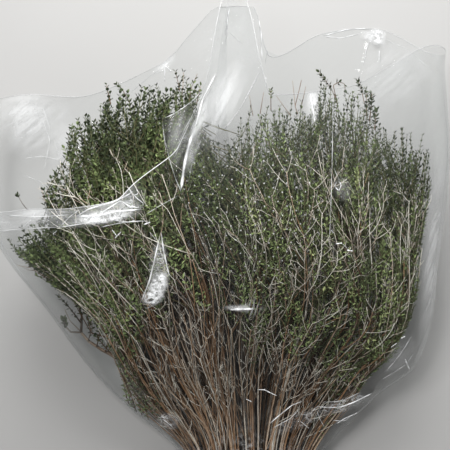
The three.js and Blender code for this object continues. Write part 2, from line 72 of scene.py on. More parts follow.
STRANDS = [(-2.9, (3.1, 1.9), 1), (0, (3.0, 2.0), 4), (2.9, (3.1, 1.9), 7)]  # place, size, seed
HEM_PLANE = -46
LOWEST = 0.8  # the growth keeps this far above the surface

LOBES = [
    {
        "from": -0.93, "to": -0.14, "columns": 3, "fork": 235, "leafy": 250, "fill": 1.15,
        "twigs": (12, 10, 26, 76), "rise": (60, 170), "bare": 0.86, "forked": 0.75, "lush": 0.65,
        "pale": (150, 330),
        "leaf": {"length": (6.8, 5.2), "width": (0.5, 0.66)},
    },
    {
        "from": -0.12, "to": 0.92, "columns": 4, "fork": 160, "leafy": 172, "fill": 1.0,
        "twigs": (12, 8, 12, 52), "rise": (30, 90), "bare": 0.84, "forked": 0.95, "lush": 0.7,
        "pale": (140, 300),
        "leaf": {"length": (6.1, 4.4), "width": (0.36, 0.5)},
    },
]
# How far across the growth reaches at each level: the stems hold most of it away from the film.
LEFT_REACH = [(0, 0.94), (120, 0.92), (185, 0.81), (235, 0.775), (310, 0.87), (370, 0.95), (600, 0.93)]
RIGHT_REACH = [(0, 0.93), (110, 0.88), (170, 0.79), (210, 0.805), (260, 0.835), (330, 0.86), (600, 0.885)]
ROWS = 4
ROW_EDGE = 0.95
EDGE_DROP = 230  # how much lower the leaves begin at the fan's edges, for each unit across
TIPS = [
    (-0.92, 384), (-0.76, 392), (-0.66, 414), (-0.57, 450), (-0.46, 474), (-0.3, 476), (-0.2, 470),
    (-0.12, 482), (-0.05, 454), (0.0, 402), (0.06, 402), (0.12, 434), (0.26, 442), (0.33, 446),
    (0.42, 470), (0.58, 474), (0.65, 448), (0.71, 440), (0.8, 450), (0.92, 438),
]

# The film's rim, as (across, level): under the lap, round the back, and over the top.
SHEET_START = 0.055
SHEET_END = -0.19
RIM_INNER = [
    (-1, 440), (-0.97, 424), (-0.77, 390), (-0.58, 362), (-0.43, 352), (-0.34, 363), (-0.224, 377),
    (-0.151, 388), (-0.062, 424), (0.021, 465), (0.055, 551),
]
RIM_BACK = [
    (-1, 540), (-0.53, 502), (-0.236, 517), (-0.09, 556), (0, 580), (0.16, 580), (0.25, 515), (0.49, 553),
    (0.74, 572), (1, 556),
]
RIM_OUTER = [
    (-0.19, 426), (-0.03, 447), (0.05, 560), (0.1, 565), (0.217, 440), (0.5, 460), (0.7, 500), (1, 556)
]
RIM_CORNER = 0.3
FILM_LAP = 2.2
FILM_THICKNESS = 0.25
FILM_LIMITS = (-4.5, 9)  # how far the film may leave the fan's own surface, inwards and outwards
FILM_GRID = {"under": 84, "back": 54, "over": 92, "rows": 184}  # columns by layer, and rows
LAYER_MARK = {"back": 0.3, "over": 0.5, "pierced": 0.5}  # what marks each layer in the film's look
# How far the film's forms stand out: its mean on top and underneath, and the heights of its waves.
RELIEF = {
    "top": 1.8, "underside": 1.2, "billows": (1.9, 1.1), "pleats": 2.2, "flare": (3, 3.5),
    "cuff": (3.2, 1.6),
}
# Painted sheen on the film: its least, its most over the head, where that rises and over how far; and the
# least crumple.
SHEEN_AND_CRUMPLE = {"least": 0.003, "head": 0.018, "from": 330, "over": 110, "crumple": 0.012}
CREASES = {
    "count": 90, "across": 0.95, "level": (60, 540), "lean": 0.7, "half": (15, 60), "rise": (0.6, 1.8),
    "slope": (4, 8),
}

# ---- how much of each kind grows in a cell ----
STEMS = 9
STEM = {"points": 18, "sides": 6, "radii": (1.3, 0.45), "middle": (2.5, 1.0), "weathered": (-0.15, 0.2)}
TWIG = {"points": 8, "sides": 5, "radii": (0.46, 0.31), "reach": (0.3, 1.1), "lowest": 80}
BLEACHED = 0.3  # the share of stems and twigs that are paler than the rest
TIP_GAP = {"stem": 25, "cell": 22, "twig": 10}  # how far below the tips the wood ends
# The prongs of the bare twigs, and the prongs of those: the places that they leave from and the share
# that grow there, their lengths, and which of their points are kept.
PRONGS = [
    {
        "places": (0.55, 0.8, 0.98), "kept": (0.4, 0.6, 1), "length": (13, 34), "spread": 0.76,
        "every": 1, "weathered": (0.6, 0.95), "vary": 0.25, "radii": (0.35, 0.26), "sides": 4,
    },
    {
        "places": (0.62, 0.97), "kept": (0.35, 0.6), "length": (5, 13), "spread": 0.55,
        "every": 3, "weathered": (0.8, 1), "vary": 0.2, "radii": (0.31, 0.23), "sides": 3,
    },
]
SHOOTS = {
    "rows": (50, 44, 92, 202), "pairs": 10, "points": 6, "sides": 3, "radii": (0.6, 0.32),
    "reach": (0.15, 0.95), "rise": (42, 88),
}
LEAN = (1.25, 0.65)  # how far leaves lean out from their shoot, at its base and at its tip, in radians
# By how much leaves' tints differ from shoot to shoot, stem to stem, in slow waves and in clumps, and
# how much darker they are near the tips and low in the bundle.
TINT = {"shoot": 0.13, "stem": 0.35, "wave": 0.15, "clump": 0.25, "old": 0.38, "low": 0.2}
SURFACE_PULL = (-1, 0, 0, 1)  # whether the growth of a row of cells turns to the underside or to the top
# Painted shade: the growth of the inner rows is painted darker by these shares.
PAINTED_SHADE = (0, 0.3, 0.22, 0)  # how much darker the growth of an inner row is
# Painted shade deep in the bundle: the depths over which it rises, and how much it takes from bark's
# paleness, bark's kind and leaves' tint.
BURIED = {"from": 6, "to": 36, "painted_shade_tone": 0.5, "dark": 0.6, "leaf": 0.3}


# ---- helpers ----
def chance(a, b):
    """A repeatable number from 0 to 1 for a pair of indices: the fraction of a large sine."""
    x = np.sin(a * 12.9898 + b * 78.233) * 43758.5453
    return x - np.floor(x)


def lerp(a, b, t):
    """a where t is 0 and b where it is 1, by a straight line."""
    return a + (b - a) * t


def smooth(t):
    """Rises from 0 to 1 as 3t^2 - 2t^3."""
    t = np.clip(t, 0, 1)
    return t * t * (3 - 2 * t)


def curve(knots, x):
    """A cubic through the knots, flat at both ends and at each turning point. Elsewhere its slope at a
    knot is the harmonic mean of the slopes on either side."""
    places, heights = np.array(knots, float).T
    slopes = np.diff(heights) / np.diff(places)
    before, after = slopes[:-1], slopes[1:]
    same = before * after > 0
    inner = np.where(same, 2 * before * after / np.where(same, before + after, 1), 0)
    tangents = np.concatenate([[0], inner, [0]])
    x = np.clip(x, places[0], places[-1])
    i = np.clip(np.searchsorted(places, x, side="right") - 1, 0, len(places) - 2)
    width = places[i + 1] - places[i]
    t = (x - places[i]) / width
    bend = t * (1 - t) ** 2 * tangents[i] - t * t * (1 - t) * tangents[i + 1]
    return lerp(heights[i], heights[i + 1], t * t * (3 - 2 * t)) + width * bend


def unit(v):
    return v / np.maximum(np.linalg.norm(v, axis=-1, keepdims=True), 1e-9)


def dot(a, b):
    return (a * b).sum(-1, keepdims=True)


# ---- the fan ----
WAIST_SHIFT = NECK_BEND * SPLAY / math.sqrt(OPENING**2 - SPLAY**2)
RADIUS_BASE = NECK_RADIUS - OPENING * math.hypot(WAIST_SHIFT, NECK_BEND) + SPLAY * WAIST_SHIFT


def fan_radius(level):
    """Distance from the point where the stems would meet: a hyperbola that bends at the neck."""
    x = level - WAIST_SHIFT
    return RADIUS_BASE + OPENING * np.hypot(x, NECK_BEND) + SPLAY * x


def fan_angle(across, level):
    """Angle from the Y axis, evenly from the left edge's angle at that level to the right edge's."""
    return np.radians(lerp(-curve(LEFT_EDGE, level), curve(RIGHT_EDGE, level), (1 + across) / 2))


def fan_depth(across, level):
    """Thickness: half a cosine from neck to head, less the valley between the lobes and the fall towards
    the mouth."""
    growth = (1 - np.cos(np.pi * np.clip(level / FULL_LEVEL, 0, 1))) / 2
    full = lerp(NECK_DEPTH, HEAD_DEPTH, growth) + 0.1 * np.maximum(0, -level)
    valley = LOBE_GAP["depth"] * growth * np.exp(-(((across - LOBE_GAP["at"]) / LOBE_GAP["width"]) ** 2))
    fall = smooth((level - MOUTH_FALL["from"]) / (MOUTH_FALL["to"] - MOUTH_FALL["from"]))
    return full * (1 - valley) * (1 - MOUTH_FALL["share"] * fall)


def fan_heights(across, level):
    """Lowest and highest Z: flat underneath, domed above, widest at a third of the thickness."""
    depth = fan_depth(across, level)
    side = SIDE_HEIGHT * depth
    roundness = np.maximum(0, 1 - across * across)
    lift = NECK_LIFT["height"] * (1 - smooth(np.abs(level - NECK_LIFT["centre"]) / NECK_LIFT["reach"]))
    under = side * (1 - np.minimum(1, 1.25 * np.sqrt(roundness)))
    over = side + (depth - side) * roundness**0.4
    return lift + under, lift + over


def fan_point(across, depth, level):
    """Points of the fan: on circles whose radius and angle grow with the level, between its heights."""
    across, depth, level = np.broadcast_arrays(across, depth, np.asarray(level, float))
    radius, angle = fan_radius(level), fan_angle(across, level)
    under, over = fan_heights(across, level)
    x, y = radius * np.sin(angle), level - radius * (1 - np.cos(angle))
    return np.stack([x, y, lerp(under, over, (1 + depth) / 2)], axis=-1)


def level_at_plane(across, y):
    """The level at which a stem crosses the plane Y = y, by repeated substitution."""
    level = np.zeros_like(across, float) + y
    for _ in range(30):
        level = y + fan_radius(level) * (1 - np.cos(fan_angle(across, level)))
    return level


def fan_place(x, y):
    """Where a point lies in the fan above the neck, as (across, level): the reverse of fan_point."""
    level = np.array(y, float)
    for _ in range(30):
        angle = np.arctan2(x, y - level + fan_radius(level))
        level = y + fan_radius(level) * (1 - np.cos(angle))
    low, high = fan_angle(-1.0, level), fan_angle(1.0, level)
    return 2 * (angle - low) / (high - low) - 1, level


# ---- meshes ----
def joined(parts):
    """One set of points, four-sided and three-sided faces and looks from several."""
    start = np.cumsum([0] + [len(p["points"]) for p in parts[:-1]])
    out = {key: np.concatenate([p[key] for p in parts]) for key in ("points", "look", "grain")}
    for key in ("quads", "tris"):
        out[key] = np.concatenate([p[key] + s for p, s in zip(parts, start)])
        out[key + "_slot"] = np.concatenate([np.full(len(p[key]), p.get("slot", 0)) for p in parts])
        out[key + "_smooth"] = np.concatenate([np.full(len(p[key]), p.get("smooth", True)) for p in parts])
    return out


def piece(name, part, materials, nodes, lowest=0.0):
    """Makes an object of the faces and hands it to the frame, in place of the nodes. None of its points
    is lower than `lowest`."""
    mesh = bpy.data.meshes.new(name)
    points = (part["points"] + ORIGIN) / 1000
    points[:, 2] = np.maximum(points[:, 2], lowest / 1000)
    corners = np.concatenate([part["quads"].ravel(), part["tris"].ravel()])
    quads, tris = len(part["quads"]), len(part["tris"])
    starts = np.concatenate([4 * np.arange(quads), 4 * quads + 3 * np.arange(tris)])
    mesh.vertices.add(len(points))
    mesh.vertices.foreach_set("co", points.ravel())
    mesh.loops.add(len(corners))
    mesh.loops.foreach_set("vertex_index", corners)
    mesh.polygons.add(quads + tris)
    mesh.polygons.foreach_set("loop_start", starts)
    mesh.polygons.foreach_set("material_index", np.concatenate([part["quads_slot"], part["tris_slot"]]))
    mesh.polygons.foreach_set("use_smooth", np.concatenate([part["quads_smooth"], part["tris_smooth"]]))
    mesh.attributes.new("look", "FLOAT_COLOR", "POINT").data.foreach_set("color", part["look"].ravel())
    mesh.attributes.new("grain", "FLOAT_VECTOR", "POINT").data.foreach_set("vector", part["grain"].ravel())
    mesh.update(calc_edges=True)
    mesh.validate()
    for material in materials:
        mesh.materials.append(material)
    thing = bpy.data.objects.new(name, mesh)
    bpy.context.scene.collection.objects.link(thing)
    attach(thing, "root")
    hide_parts(*nodes)
    return thing


def path_frames(paths):
    """Along, side and up at each point of each path: side is square to the path and to a pole that its
    chord is never close to."""
    along = unit(np.gradient(paths, axis=1))
    chord = unit(paths[:, -1] - paths[:, 0])
    pole = np.where(np.abs(chord[:, 2:]) < 0.8, [0.0, 0.0, 1.0], [1.0, 0.0, 0.0])
    side = np.cross(chord, pole)[:, None, :]
    side = unit(side - along * dot(side, along))
    return along, side, np.cross(along, side)


def rods(paths, radii, sides, look, slot=0):
    """Tapered rods: a ring of corners round each point of a path, and a point beyond each end.
    look is four numbers for each point of each path. grain is the place across the rod and along it."""
    n, rings = radii.shape
    along, side, up = path_frames(paths)
    turn = 2 * np.pi * np.arange(sides) / sides
    round_ = np.cos(turn)[:, None] * side[:, :, None] + np.sin(turn)[:, None] * up[:, :, None]
    ring = paths[:, :, None] + radii[:, :, None, None] * round_
    first = paths[:, :1] - along[:, :1] * radii[:, :1, None] * 0.3
    last = paths[:, -1:] + along[:, -1:] * radii[:, -1:, None] * 0.8
    points = np.concatenate([ring.reshape(n, rings * sides, 3), first, last], axis=1)
    steps = np.linalg.norm(np.diff(paths, axis=1), axis=-1)
    length = np.concatenate([np.zeros((n, 1)), np.cumsum(steps, axis=1)], axis=1)
    flat = radii[:, :, None, None] * np.stack([np.cos(turn), np.sin(turn)], -1)
    grain = np.concatenate([flat, np.broadcast_to(length[:, :, None, None], flat.shape[:3] + (1,))], -1)
    grain = grain.reshape(n, rings * sides, 3)
    grain = np.concatenate([grain, grain[:, :1], grain[:, -1:]], axis=1)
    grain = grain + 37.0 * np.arange(n)[:, None, None]
    looks = np.repeat(look, sides, axis=1)
    looks = np.concatenate([looks, look[:, :1], look[:, -1:]], axis=1)
    size = rings * sides + 2
    k = np.arange(sides)
    i = np.arange(rings - 1)[:, None] * sides
    turned = (k + 1) % sides
    quads = np.stack([i + k, i + turned, i + sides + turned, i + sides + k], -1).reshape(-1, 4)
    top = (rings - 1) * sides
    caps = np.concatenate([
        np.stack([np.full(sides, size - 2), turned, k], -1),
        np.stack([np.full(sides, size - 1), top + k, top + turned], -1),
    ])
    base = size * np.arange(n)[:, None, None]
    return {
        "points": points.reshape(-1, 3),
        "quads": (quads + base).reshape(-1, 4),
        "tris": (caps + base).reshape(-1, 3),
        "look": looks.reshape(-1, 4),
        "grain": grain.reshape(-1, 3),
        "slot": slot,
    }


# A leaf, as (across, along, height) in shares of its width, length and width: the corners round its edge
# from the stalk, then the middle of its upper side. The plain one is for growth deep in the bundle.
LEAF = {
    "form": [
        (0, 0, -0.05), (0.44, 0.34, 0), (0.4, 0.7, 0), (0, 1, -0.12), (-0.4, 0.7, 0), (-0.44, 0.34, 0),
        (0, 0.5, 0.2),
    ],
    "under": [(3, 2, 1, 0), (0, 5, 4, 3)],
}
PLAIN_LEAF = {
    "form": [(0, 0, -0.05), (0.46, 0.5, 0), (0, 1, -0.12), (-0.46, 0.5, 0), (0, 0.48, 0.2)],
    "under": [(3, 2, 1, 0)],
}


LEAF_POLE = np.array([0.31, -0.2, 0.93])


def leaves(kind, roots, directions, ups, lengths, widths, tint, share):
    """Leaves of one kind: its form, scaled by each leaf's width and length along its own three
    directions. look holds tint, the place along the leaf, the height on it, and the leaf's share of the
    way along its shoot."""
    form = np.array(kind["form"])
    corners = len(form)
    edge = np.arange(corners - 1)
    top = np.stack([np.full(corners - 1, corners - 1), edge, (edge + 1) % (corners - 1)], -1)
    sides = unit(np.cross(directions, ups))
    ups = np.cross(sides, directions)
    x, y, z = (form[:, i][None, :, None] for i in range(3))
    width, length = widths[:, None, None], lengths[:, None, None]
    points = roots[:, None] + x * width * sides[:, None] + y * length * directions[:, None]
    points = points + z * width * ups[:, None]
    look = np.stack(np.broadcast_arrays(tint[:, None], form[:, 1], form[:, 2], share[:, None]), -1)
    base = np.arange(len(roots))[:, None, None]
    return {
        "points": points.reshape(-1, 3),
        "quads": (np.array(kind["under"]) + corners * base).reshape(-1, 4),
        "tris": (top + corners * base).reshape(-1, 3),
        "look": look.reshape(-1, 4),
        "grain": (form * [3.0, 6.0, 3.0] + 11.0 * base).reshape(-1, 3),
        "smooth": False,
    }


# ---- the cells that the stems stand in ----
def cells_of(lobe, index):
    """The cells of a lobe: columns with rows from the underside to the top, moved a little left and
    right in turn. Each cell has its own tip, fork and lowest leaves."""
    step = (lobe["to"] - lobe["from"]) / lobe["columns"]
    row_step = 2 * ROW_EDGE / ROWS
    for column in range(lobe["columns"]):
        for row in range(ROWS):
            seed = 100 * index + 10 * column + row
            across = lobe["from"] + (column + 0.5) * step + (0.12 if row % 2 else -0.12) * step
            tip = float(curve(TIPS, across)) - 16 * chance(seed, 1) - (0 if row % 3 else 12)
            fork = lobe["fork"] + 60 * (chance(seed, 2) - 0.5) + 40 * abs(across)
            leafy = lobe["leafy"] - EDGE_DROP * max(0, abs(across) - 0.55)
            yield {
                "seed": seed, "across": across, "depth": -ROW_EDGE + (row + 0.5) * row_step, "step": step,
                "row_step": row_step, "tip": tip, "fork": fork, "leafy": leafy, "row": row, "lobe": lobe,
            }


def cell_stems(rng):
    """Where the stems of a cell stand in it. The first is in the middle, and the others lie round it at
    the golden angle."""
    k = np.arange(1, STEMS)
    turn = 2.4 * k + rng.uniform(0, 6)
    reach = 0.2 + 0.24 * k / STEMS
    return {
        "a": np.concatenate([[0], reach * np.cos(turn)]),
        "b": np.concatenate([[0], reach * np.sin(turn)]),
        "phase": rng.uniform(0, 6.28, (2, STEMS)),
    }


def stem_place(cell, stems, which, level):
    """Place of a stem at a level, as (across, depth): its place in the cell, swaying by sine waves."""
    sway = 0.05 * np.sin(level / 47 + cell["seed"])
    phase = stems["phase"][:, which]
    own = 0.032 * np.sin(level / 31 + phase[0]) + 0.009 * np.sin(level / 11 + phase[1])
    across = cell["across"] + cell["step"] * (stems["a"][which] + sway + own * (which > 0))
    depth = cell["depth"] + cell["row_step"] * (stems["b"][which] + 0.7 * own * (which > 0))
    return across, depth


def eased(value, limit, power=6):
    """The value, bent so that it never passes the limit: v / (1 + |v / limit|^p)^(1/p)."""
    return value / (1 + np.abs(value / limit) ** power) ** (1 / power)


def growth_reach(across, level):
    """How far across the growth reaches at a level, on the side of the fan that a point is on."""
    return np.where(across < 0, curve(LEFT_REACH, level), curve(RIGHT_REACH, level))


def inside(across, depth, level, limit=0.93):
    """Points of the fan drawn in to where the growth reaches, and held a little inside its surface."""
    return fan_point(eased(across, growth_reach(across, level) + 0.03, 12), eased(depth, limit), level)


def end_across(cell, stems, which, reach, turn):
    """How far across growth ends that leaves its stem by a reach, which is a share of the cell."""
    return cell["across"] + cell["step"] * (stems["a"][which] + reach * np.cos(turn))


def side_paths(cell, stems, which, begin, rise, turn, reach, count, rng, limit=0.93):
    """Paths that leave stems and bend back along them: as the level rises evenly, the place in the fan
    moves out by 1 - (1 - t)^1.8 of its reach, which is a share of the cell, and wavers a little."""
    t = np.linspace(0, 1, count)[None]
    level = begin[:, None] + rise[:, None] * t
    across, depth = stem_place(cell, stems, which[:, None], level)
    out = (1 - (1 - t) ** 1.8) * reach[:, None]
    waver = rng.normal(0, 0.0016, (2, len(begin), count)) * np.minimum(1, 6 * t)
    across = across + out * np.cos(turn)[:, None] * cell["step"] + waver[0]
    depth = depth + out * np.sin(turn)[:, None] * cell["row_step"] + 1.6 * waver[1]
    return inside(across, depth, level, limit)


def surface_turn(cell, n, share, rng):
    """Directions in which growth leaves its stem: this share of it towards the fan's own surface."""
    pull = SURFACE_PULL[cell["row"]]
    turned = rng.uniform(0, 1, n) < share * abs(pull)
    return np.where(turned, (pull or 1) * rng.uniform(0.3, 2.84, n), rng.uniform(0, 6.28, n))


def forks(paths, places, lengths, spread, kept, rng):
    """Pairs of prongs that leave the paths on opposite sides, at places given as shares of the path.
    Each starts at `spread` from the path's direction and bends back towards it. `kept` is the share of
    the prongs that grow at each place."""
    n, points, _ = paths.shape
    along, side, up = path_frames(paths)
    t = np.array([0, 0.3, 0.65, 1.0])
    out = []
    for j, place in enumerate(places):
        i = min(int(place * (points - 1)), points - 2)
        f = place * (points - 1) - i
        root = lerp(paths[:, i], paths[:, i + 1], f)
        turn = rng.uniform(0, 6.28, n) * 0.15 + 1.57 * j + rng.uniform(0, 6.28)
        outward = np.cos(turn)[:, None] * side[:, i] + np.sin(turn)[:, None] * up[:, i]
        for sign in (1, -1):
            angle = spread * rng.uniform(0.6, 1.3, n)[:, None]
            start = np.cos(angle) * along[:, i] + sign * np.sin(angle) * outward
            length = (lengths * rng.uniform(0.45, 1.2, n))[:, None, None]
            bend = 0.22 * (t**2)[None, :, None] * (along[:, i] - start)[:, None]
            prong = root[:, None] + length * (t[None, :, None] * start[:, None] + bend)
            out.append(prong[rng.uniform(0, 1, n) < kept[j]])
    return np.concatenate(out)


def fan_cover(points):
    """Where points lie in the fan, as (across, level), and their height above its underside and depth
    below its top."""
    across, level = fan_place(points[..., 0], points[..., 1])
    under, over = fan_heights(np.clip(across, -1, 1), level)
    return across, level, points[..., 2] - under, over - points[..., 2]


def held_in(paths):
    """Drops the paths that end outside the growth's reach or too near the fan's own surface."""
    across, level, above, below = fan_cover(paths[:, -1])
    return paths[(np.abs(across) < growth_reach(across, level) + 0.04) & (above > 3) & (below > 1)]


def buried(points):
    """How deep in the bundle points lie: 0 near its top or its underside, rising to 1 further in."""
    _, _, above, below = fan_cover(points)
    return smooth((np.minimum(below, above) - BURIED["from"]) / (BURIED["to"] - BURIED["from"]))


def painted_depth_shade(look, paths):
    """The look of bark with painted shade: less pale and darker where its path lies deep in the bundle."""
    deep = buried(paths)
    look[..., 0] = np.clip(look[..., 0] - BURIED["painted_shade_tone"] * deep, 0, 1)
    look[..., 1] *= 1 - BURIED["dark"] * deep
    return look


def taper(n, base, top, count, rng):
    """Radii that fall evenly along each path, and that differ by up to a quarter from path to path."""
    return lerp(base, top, np.linspace(0, 1, count))[None] * rng.uniform(0.8, 1.25, n)[:, None]


def wood_look(n, count, low, high, rng, vary=0.12, shade=0.0, bleached=0.0):
    """look of bark at each path point: how weathered it is, its kind from dark to worn, and whether it is
    a cut. low and high are how weathered the two ends of a path are, vary is by how much this differs
    between paths, shade is painted shade that makes a path's kind darker, and bleached is the share of
    much paler paths."""
    low, high = (np.broadcast_to(v, n)[:, None] for v in (low, high))
    tone = lerp(low, high, np.linspace(0, 1, count)[None]) + rng.normal(0, vary, n)[:, None]
    tone = tone + np.where(rng.uniform(0, 1, n) < bleached, 0.5, -0.12 * (bleached > 0))[:, None]
    chosen = np.broadcast_to((1 - 2.6 * shade) * rng.uniform(0, 1, n)[:, None], (n, count))
    return np.stack([np.clip(tone, 0, 1), chosen, np.zeros((n, count)), np.ones((n, count))], -1)


def stem_part(cell, stems, rng):
    """The stems of a cell, from their cut ends to above the fork. The one in the middle is the thickest,
    and all of them stop short of the tips."""
    count = STEM["points"]
    which = np.arange(STEMS)
    bottom = level_at_plane(np.full(STEMS, cell["across"]), CUT_PLANE - 6 * chance(cell["seed"], 3))
    bottom[1:] += rng.uniform(0, 7, STEMS - 1)
    top = lerp(cell["fork"], cell["tip"], np.where(which, rng.uniform(0.1, 0.8, STEMS), 0.5))
    top = np.minimum(top, curve(TIPS, cell["across"] + cell["step"] * stems["a"]) - TIP_GAP["stem"])
    level = lerp(bottom[:, None], top[:, None], np.linspace(0, 1, count)[None])
    across, depth = stem_place(cell, stems, which[:, None], level)
    paths = inside(across, depth, level)
    radii = taper(STEMS, *STEM["radii"], count, rng) * rng.uniform(0.6, 1.4, STEMS)[:, None]
    radii[0] = np.linspace(*STEM["middle"], count)
    # painted shade in the inner rows, and below, deep in the bundle
    look = wood_look(STEMS, count, *STEM["weathered"], rng, 0.16, PAINTED_SHADE[cell["row"]], BLEACHED)
    look = painted_depth_shade(look, paths)
    look[:, 0, 2] = 1  # the cut end
    return rods(paths, radii, STEM["sides"], look)


def bare_twig_parts(cell, stems, rng):
    """Bare twigs that leave the stems all the way up and fork twice. Each is brown where it is low in
    the bundle and weathered pale where it is high."""
    lobe, shade, count = cell["lobe"], PAINTED_SHADE[cell["row"]], TWIG["points"]
    n = lobe["twigs"][cell["row"]]
    which = rng.integers(0, STEMS, n)
    turn = surface_turn(cell, n, 1, rng)
    reach = rng.uniform(*TWIG["reach"], n)
    tips = curve(TIPS, end_across(cell, stems, which, reach, turn)) - TIP_GAP["twig"]
    highest = np.minimum(lerp(cell["fork"], cell["tip"] - TIP_GAP["cell"], lobe["bare"]), tips)
    end = lerp(TWIG["lowest"], highest, rng.uniform(0, 1, n) ** 0.8)
    rise = np.minimum(rng.uniform(*lobe["rise"], n), end - 20)
    reach = reach * np.clip(rise / 80, 0.5, 1)
    paths = side_paths(cell, stems, which, end - rise, rise, turn, reach, count, rng, 0.98)
    browned, bleached = lobe["pale"]
    pale = [smooth((level - browned) / (bleached - browned)) for level in (end - rise, end)]
    # less pale in the inner rows: painted shade
    low, high = lerp(-0.3, 0.6, pale[0]) - shade, lerp(0.0, 0.85, pale[1]) - shade
    look = painted_depth_shade(wood_look(n, count, low, high, rng, 0.2, shade, BLEACHED), paths)
    radii = taper(n, *TWIG["radii"], count, rng) * rng.uniform(0.75, 1.3, n)[:, None]
    parts = [rods(paths, radii, TWIG["sides"], look)]
    forked = lobe["forked"]
    for kind in PRONGS:
        lengths = rng.uniform(*kind["length"], len(paths))
        kept = [share * forked for share in kind["kept"]]
        grown = forks(paths, kind["places"], lengths, kind["spread"], kept, rng)
        paths = held_in(grown[:, ::kind["every"]])
        n, count = paths.shape[:2]
        # less pale in the inner rows: painted shade
        low, high = (v - shade for v in kind["weathered"])
        look = painted_depth_shade(wood_look(n, count, low, high, rng, kind["vary"]), paths)
        parts.append(rods(paths, taper(n, *kind["radii"], count, rng), kind["sides"], look))
        forked = 1
    return parts


def along_paths(paths, t):
    """Points and directions part of the way along each path, by straight lines between its points."""
    place = np.clip(t, 0, 0.9999) * (paths.shape[1] - 1)
    i = place.astype(int)
    row = np.arange(len(paths))[:, None]
    a, b = paths[row, i], paths[row, i + 1]
    return lerp(a, b, (place - i)[:, :, None]), unit(b - a)


def clumps(points):
    """How lush the growth is at points, from -1 to 1: two sine waves that bend each other, across the
    fan and along it."""
    x, y, z = (points[..., i] for i in range(3))
    return np.sin(x / 9.5 + 1.6 * np.sin(y / 21)) * np.sin(y / 12 + 1.3 * np.sin(x / 17 + z / 15))


def leaf_pairs(kind, paths, t, length, width, tint, rng):
    """Leaves in crossed pairs at shares t of the paths. They lean out less towards the tips."""
    n, pairs = t.shape
    root, along = along_paths(paths, t)
    side = unit(np.cross(along, LEAF_POLE))
    up = np.cross(side, along)
    spin = rng.uniform(0, 6.28, n)[:, None] + 1.57 * np.arange(pairs)[None]
    spin = spin + rng.normal(0, 0.25, (n, pairs))
    parts = []
    for opposite in (0, np.pi):
        outward = np.cos(spin + opposite)[..., None] * side + np.sin(spin + opposite)[..., None] * up
        angle = (lerp(*LEAN, t) + rng.normal(0, 0.16, (n, pairs)))[..., None]
        direction = np.cos(angle) * along + np.sin(angle) * outward
        upper = np.sin(angle) * along - np.cos(angle) * outward
        lengths = length * rng.uniform(0.8, 1.15, (n, pairs))
        widths = lengths * rng.uniform(*width, (n, pairs))
        lush = clumps(root)
        # painted shade: leaves deep in the bundle are darker
        tints = tint[:, None] + TINT["clump"] * lush - BURIED["leaf"] * buried(root)
        tints = np.clip(tints + rng.normal(0, 0.05, (n, pairs)), 0, 1)
        keep = (rng.uniform(0, 1, (n, pairs)) < 0.95 - 0.4 * smooth(-0.2 - 1.5 * lush)).ravel()
        chosen = [v.reshape(-1, 3)[keep] for v in (root, direction, upper)]
        sizes = [v.ravel()[keep] for v in (lengths, widths, tints, np.broadcast_to(t, (n, pairs)))]
        parts.append(leaves(kind, *chosen, *sizes))
    return parts


def leafy_shoot_parts(cell, stems, rng):
    """Thin green shoots with leaves in crossed pairs, closer together and smaller towards the tip. The
    growth near the tips of the bundle, and the growth lowest in it, is darker than between them."""
    lobe, row, count = cell["lobe"], cell["row"], SHOOTS["points"]
    n, pairs = int(SHOOTS["rows"][row] * lobe["fill"]), SHOOTS["pairs"]
    which = rng.integers(0, STEMS, n)
    reach = rng.uniform(*SHOOTS["reach"], n)
    turn = surface_turn(cell, n, 0.35, rng)
    spot = end_across(cell, stems, which, reach, turn)
    tip = curve(TIPS, spot) - 10 * chance(cell["seed"], which) - (0 if row % 3 else 8)
    end = lerp(cell["leafy"], tip, rng.uniform(0, 1, n) ** 0.6) + rng.normal(0, 4, n)
    rise = rng.uniform(*SHOOTS["rise"], n)
    paths = side_paths(cell, stems, which, end - rise, rise, turn, reach, count, rng)
    look = wood_look(n, count, 0.1, 0.7, rng)
    stalks = rods(paths, taper(n, *SHOOTS["radii"], count, rng), SHOOTS["sides"], look, slot=1)
    t = np.linspace(0.16, 1, pairs)[None] ** 0.85 + rng.normal(0, 0.008, (n, pairs))
    old = smooth((end - tip + 85) / 85)
    hue = rng.normal(lobe["lush"], TINT["shoot"], n) + TINT["stem"] * (chance(cell["seed"], which) - 0.5)
    # the inner rows' leaves are painted darker: painted shade
    hue = hue + TINT["wave"] * np.sin(17 * spot + 1) * np.sin(end / 37) - PAINTED_SHADE[row] - TINT["old"] * old
    hue = hue - TINT["low"] * smooth((270 - end) / 110)
    length = lerp(*lobe["leaf"]["length"], t**2) * rng.uniform(0.85, 1.15, n)[:, None]
    kind = LEAF if SURFACE_PULL[row] else PLAIN_LEAF
    return [*leaf_pairs(kind, paths, t, length, lobe["leaf"]["width"], hue, rng), stalks]


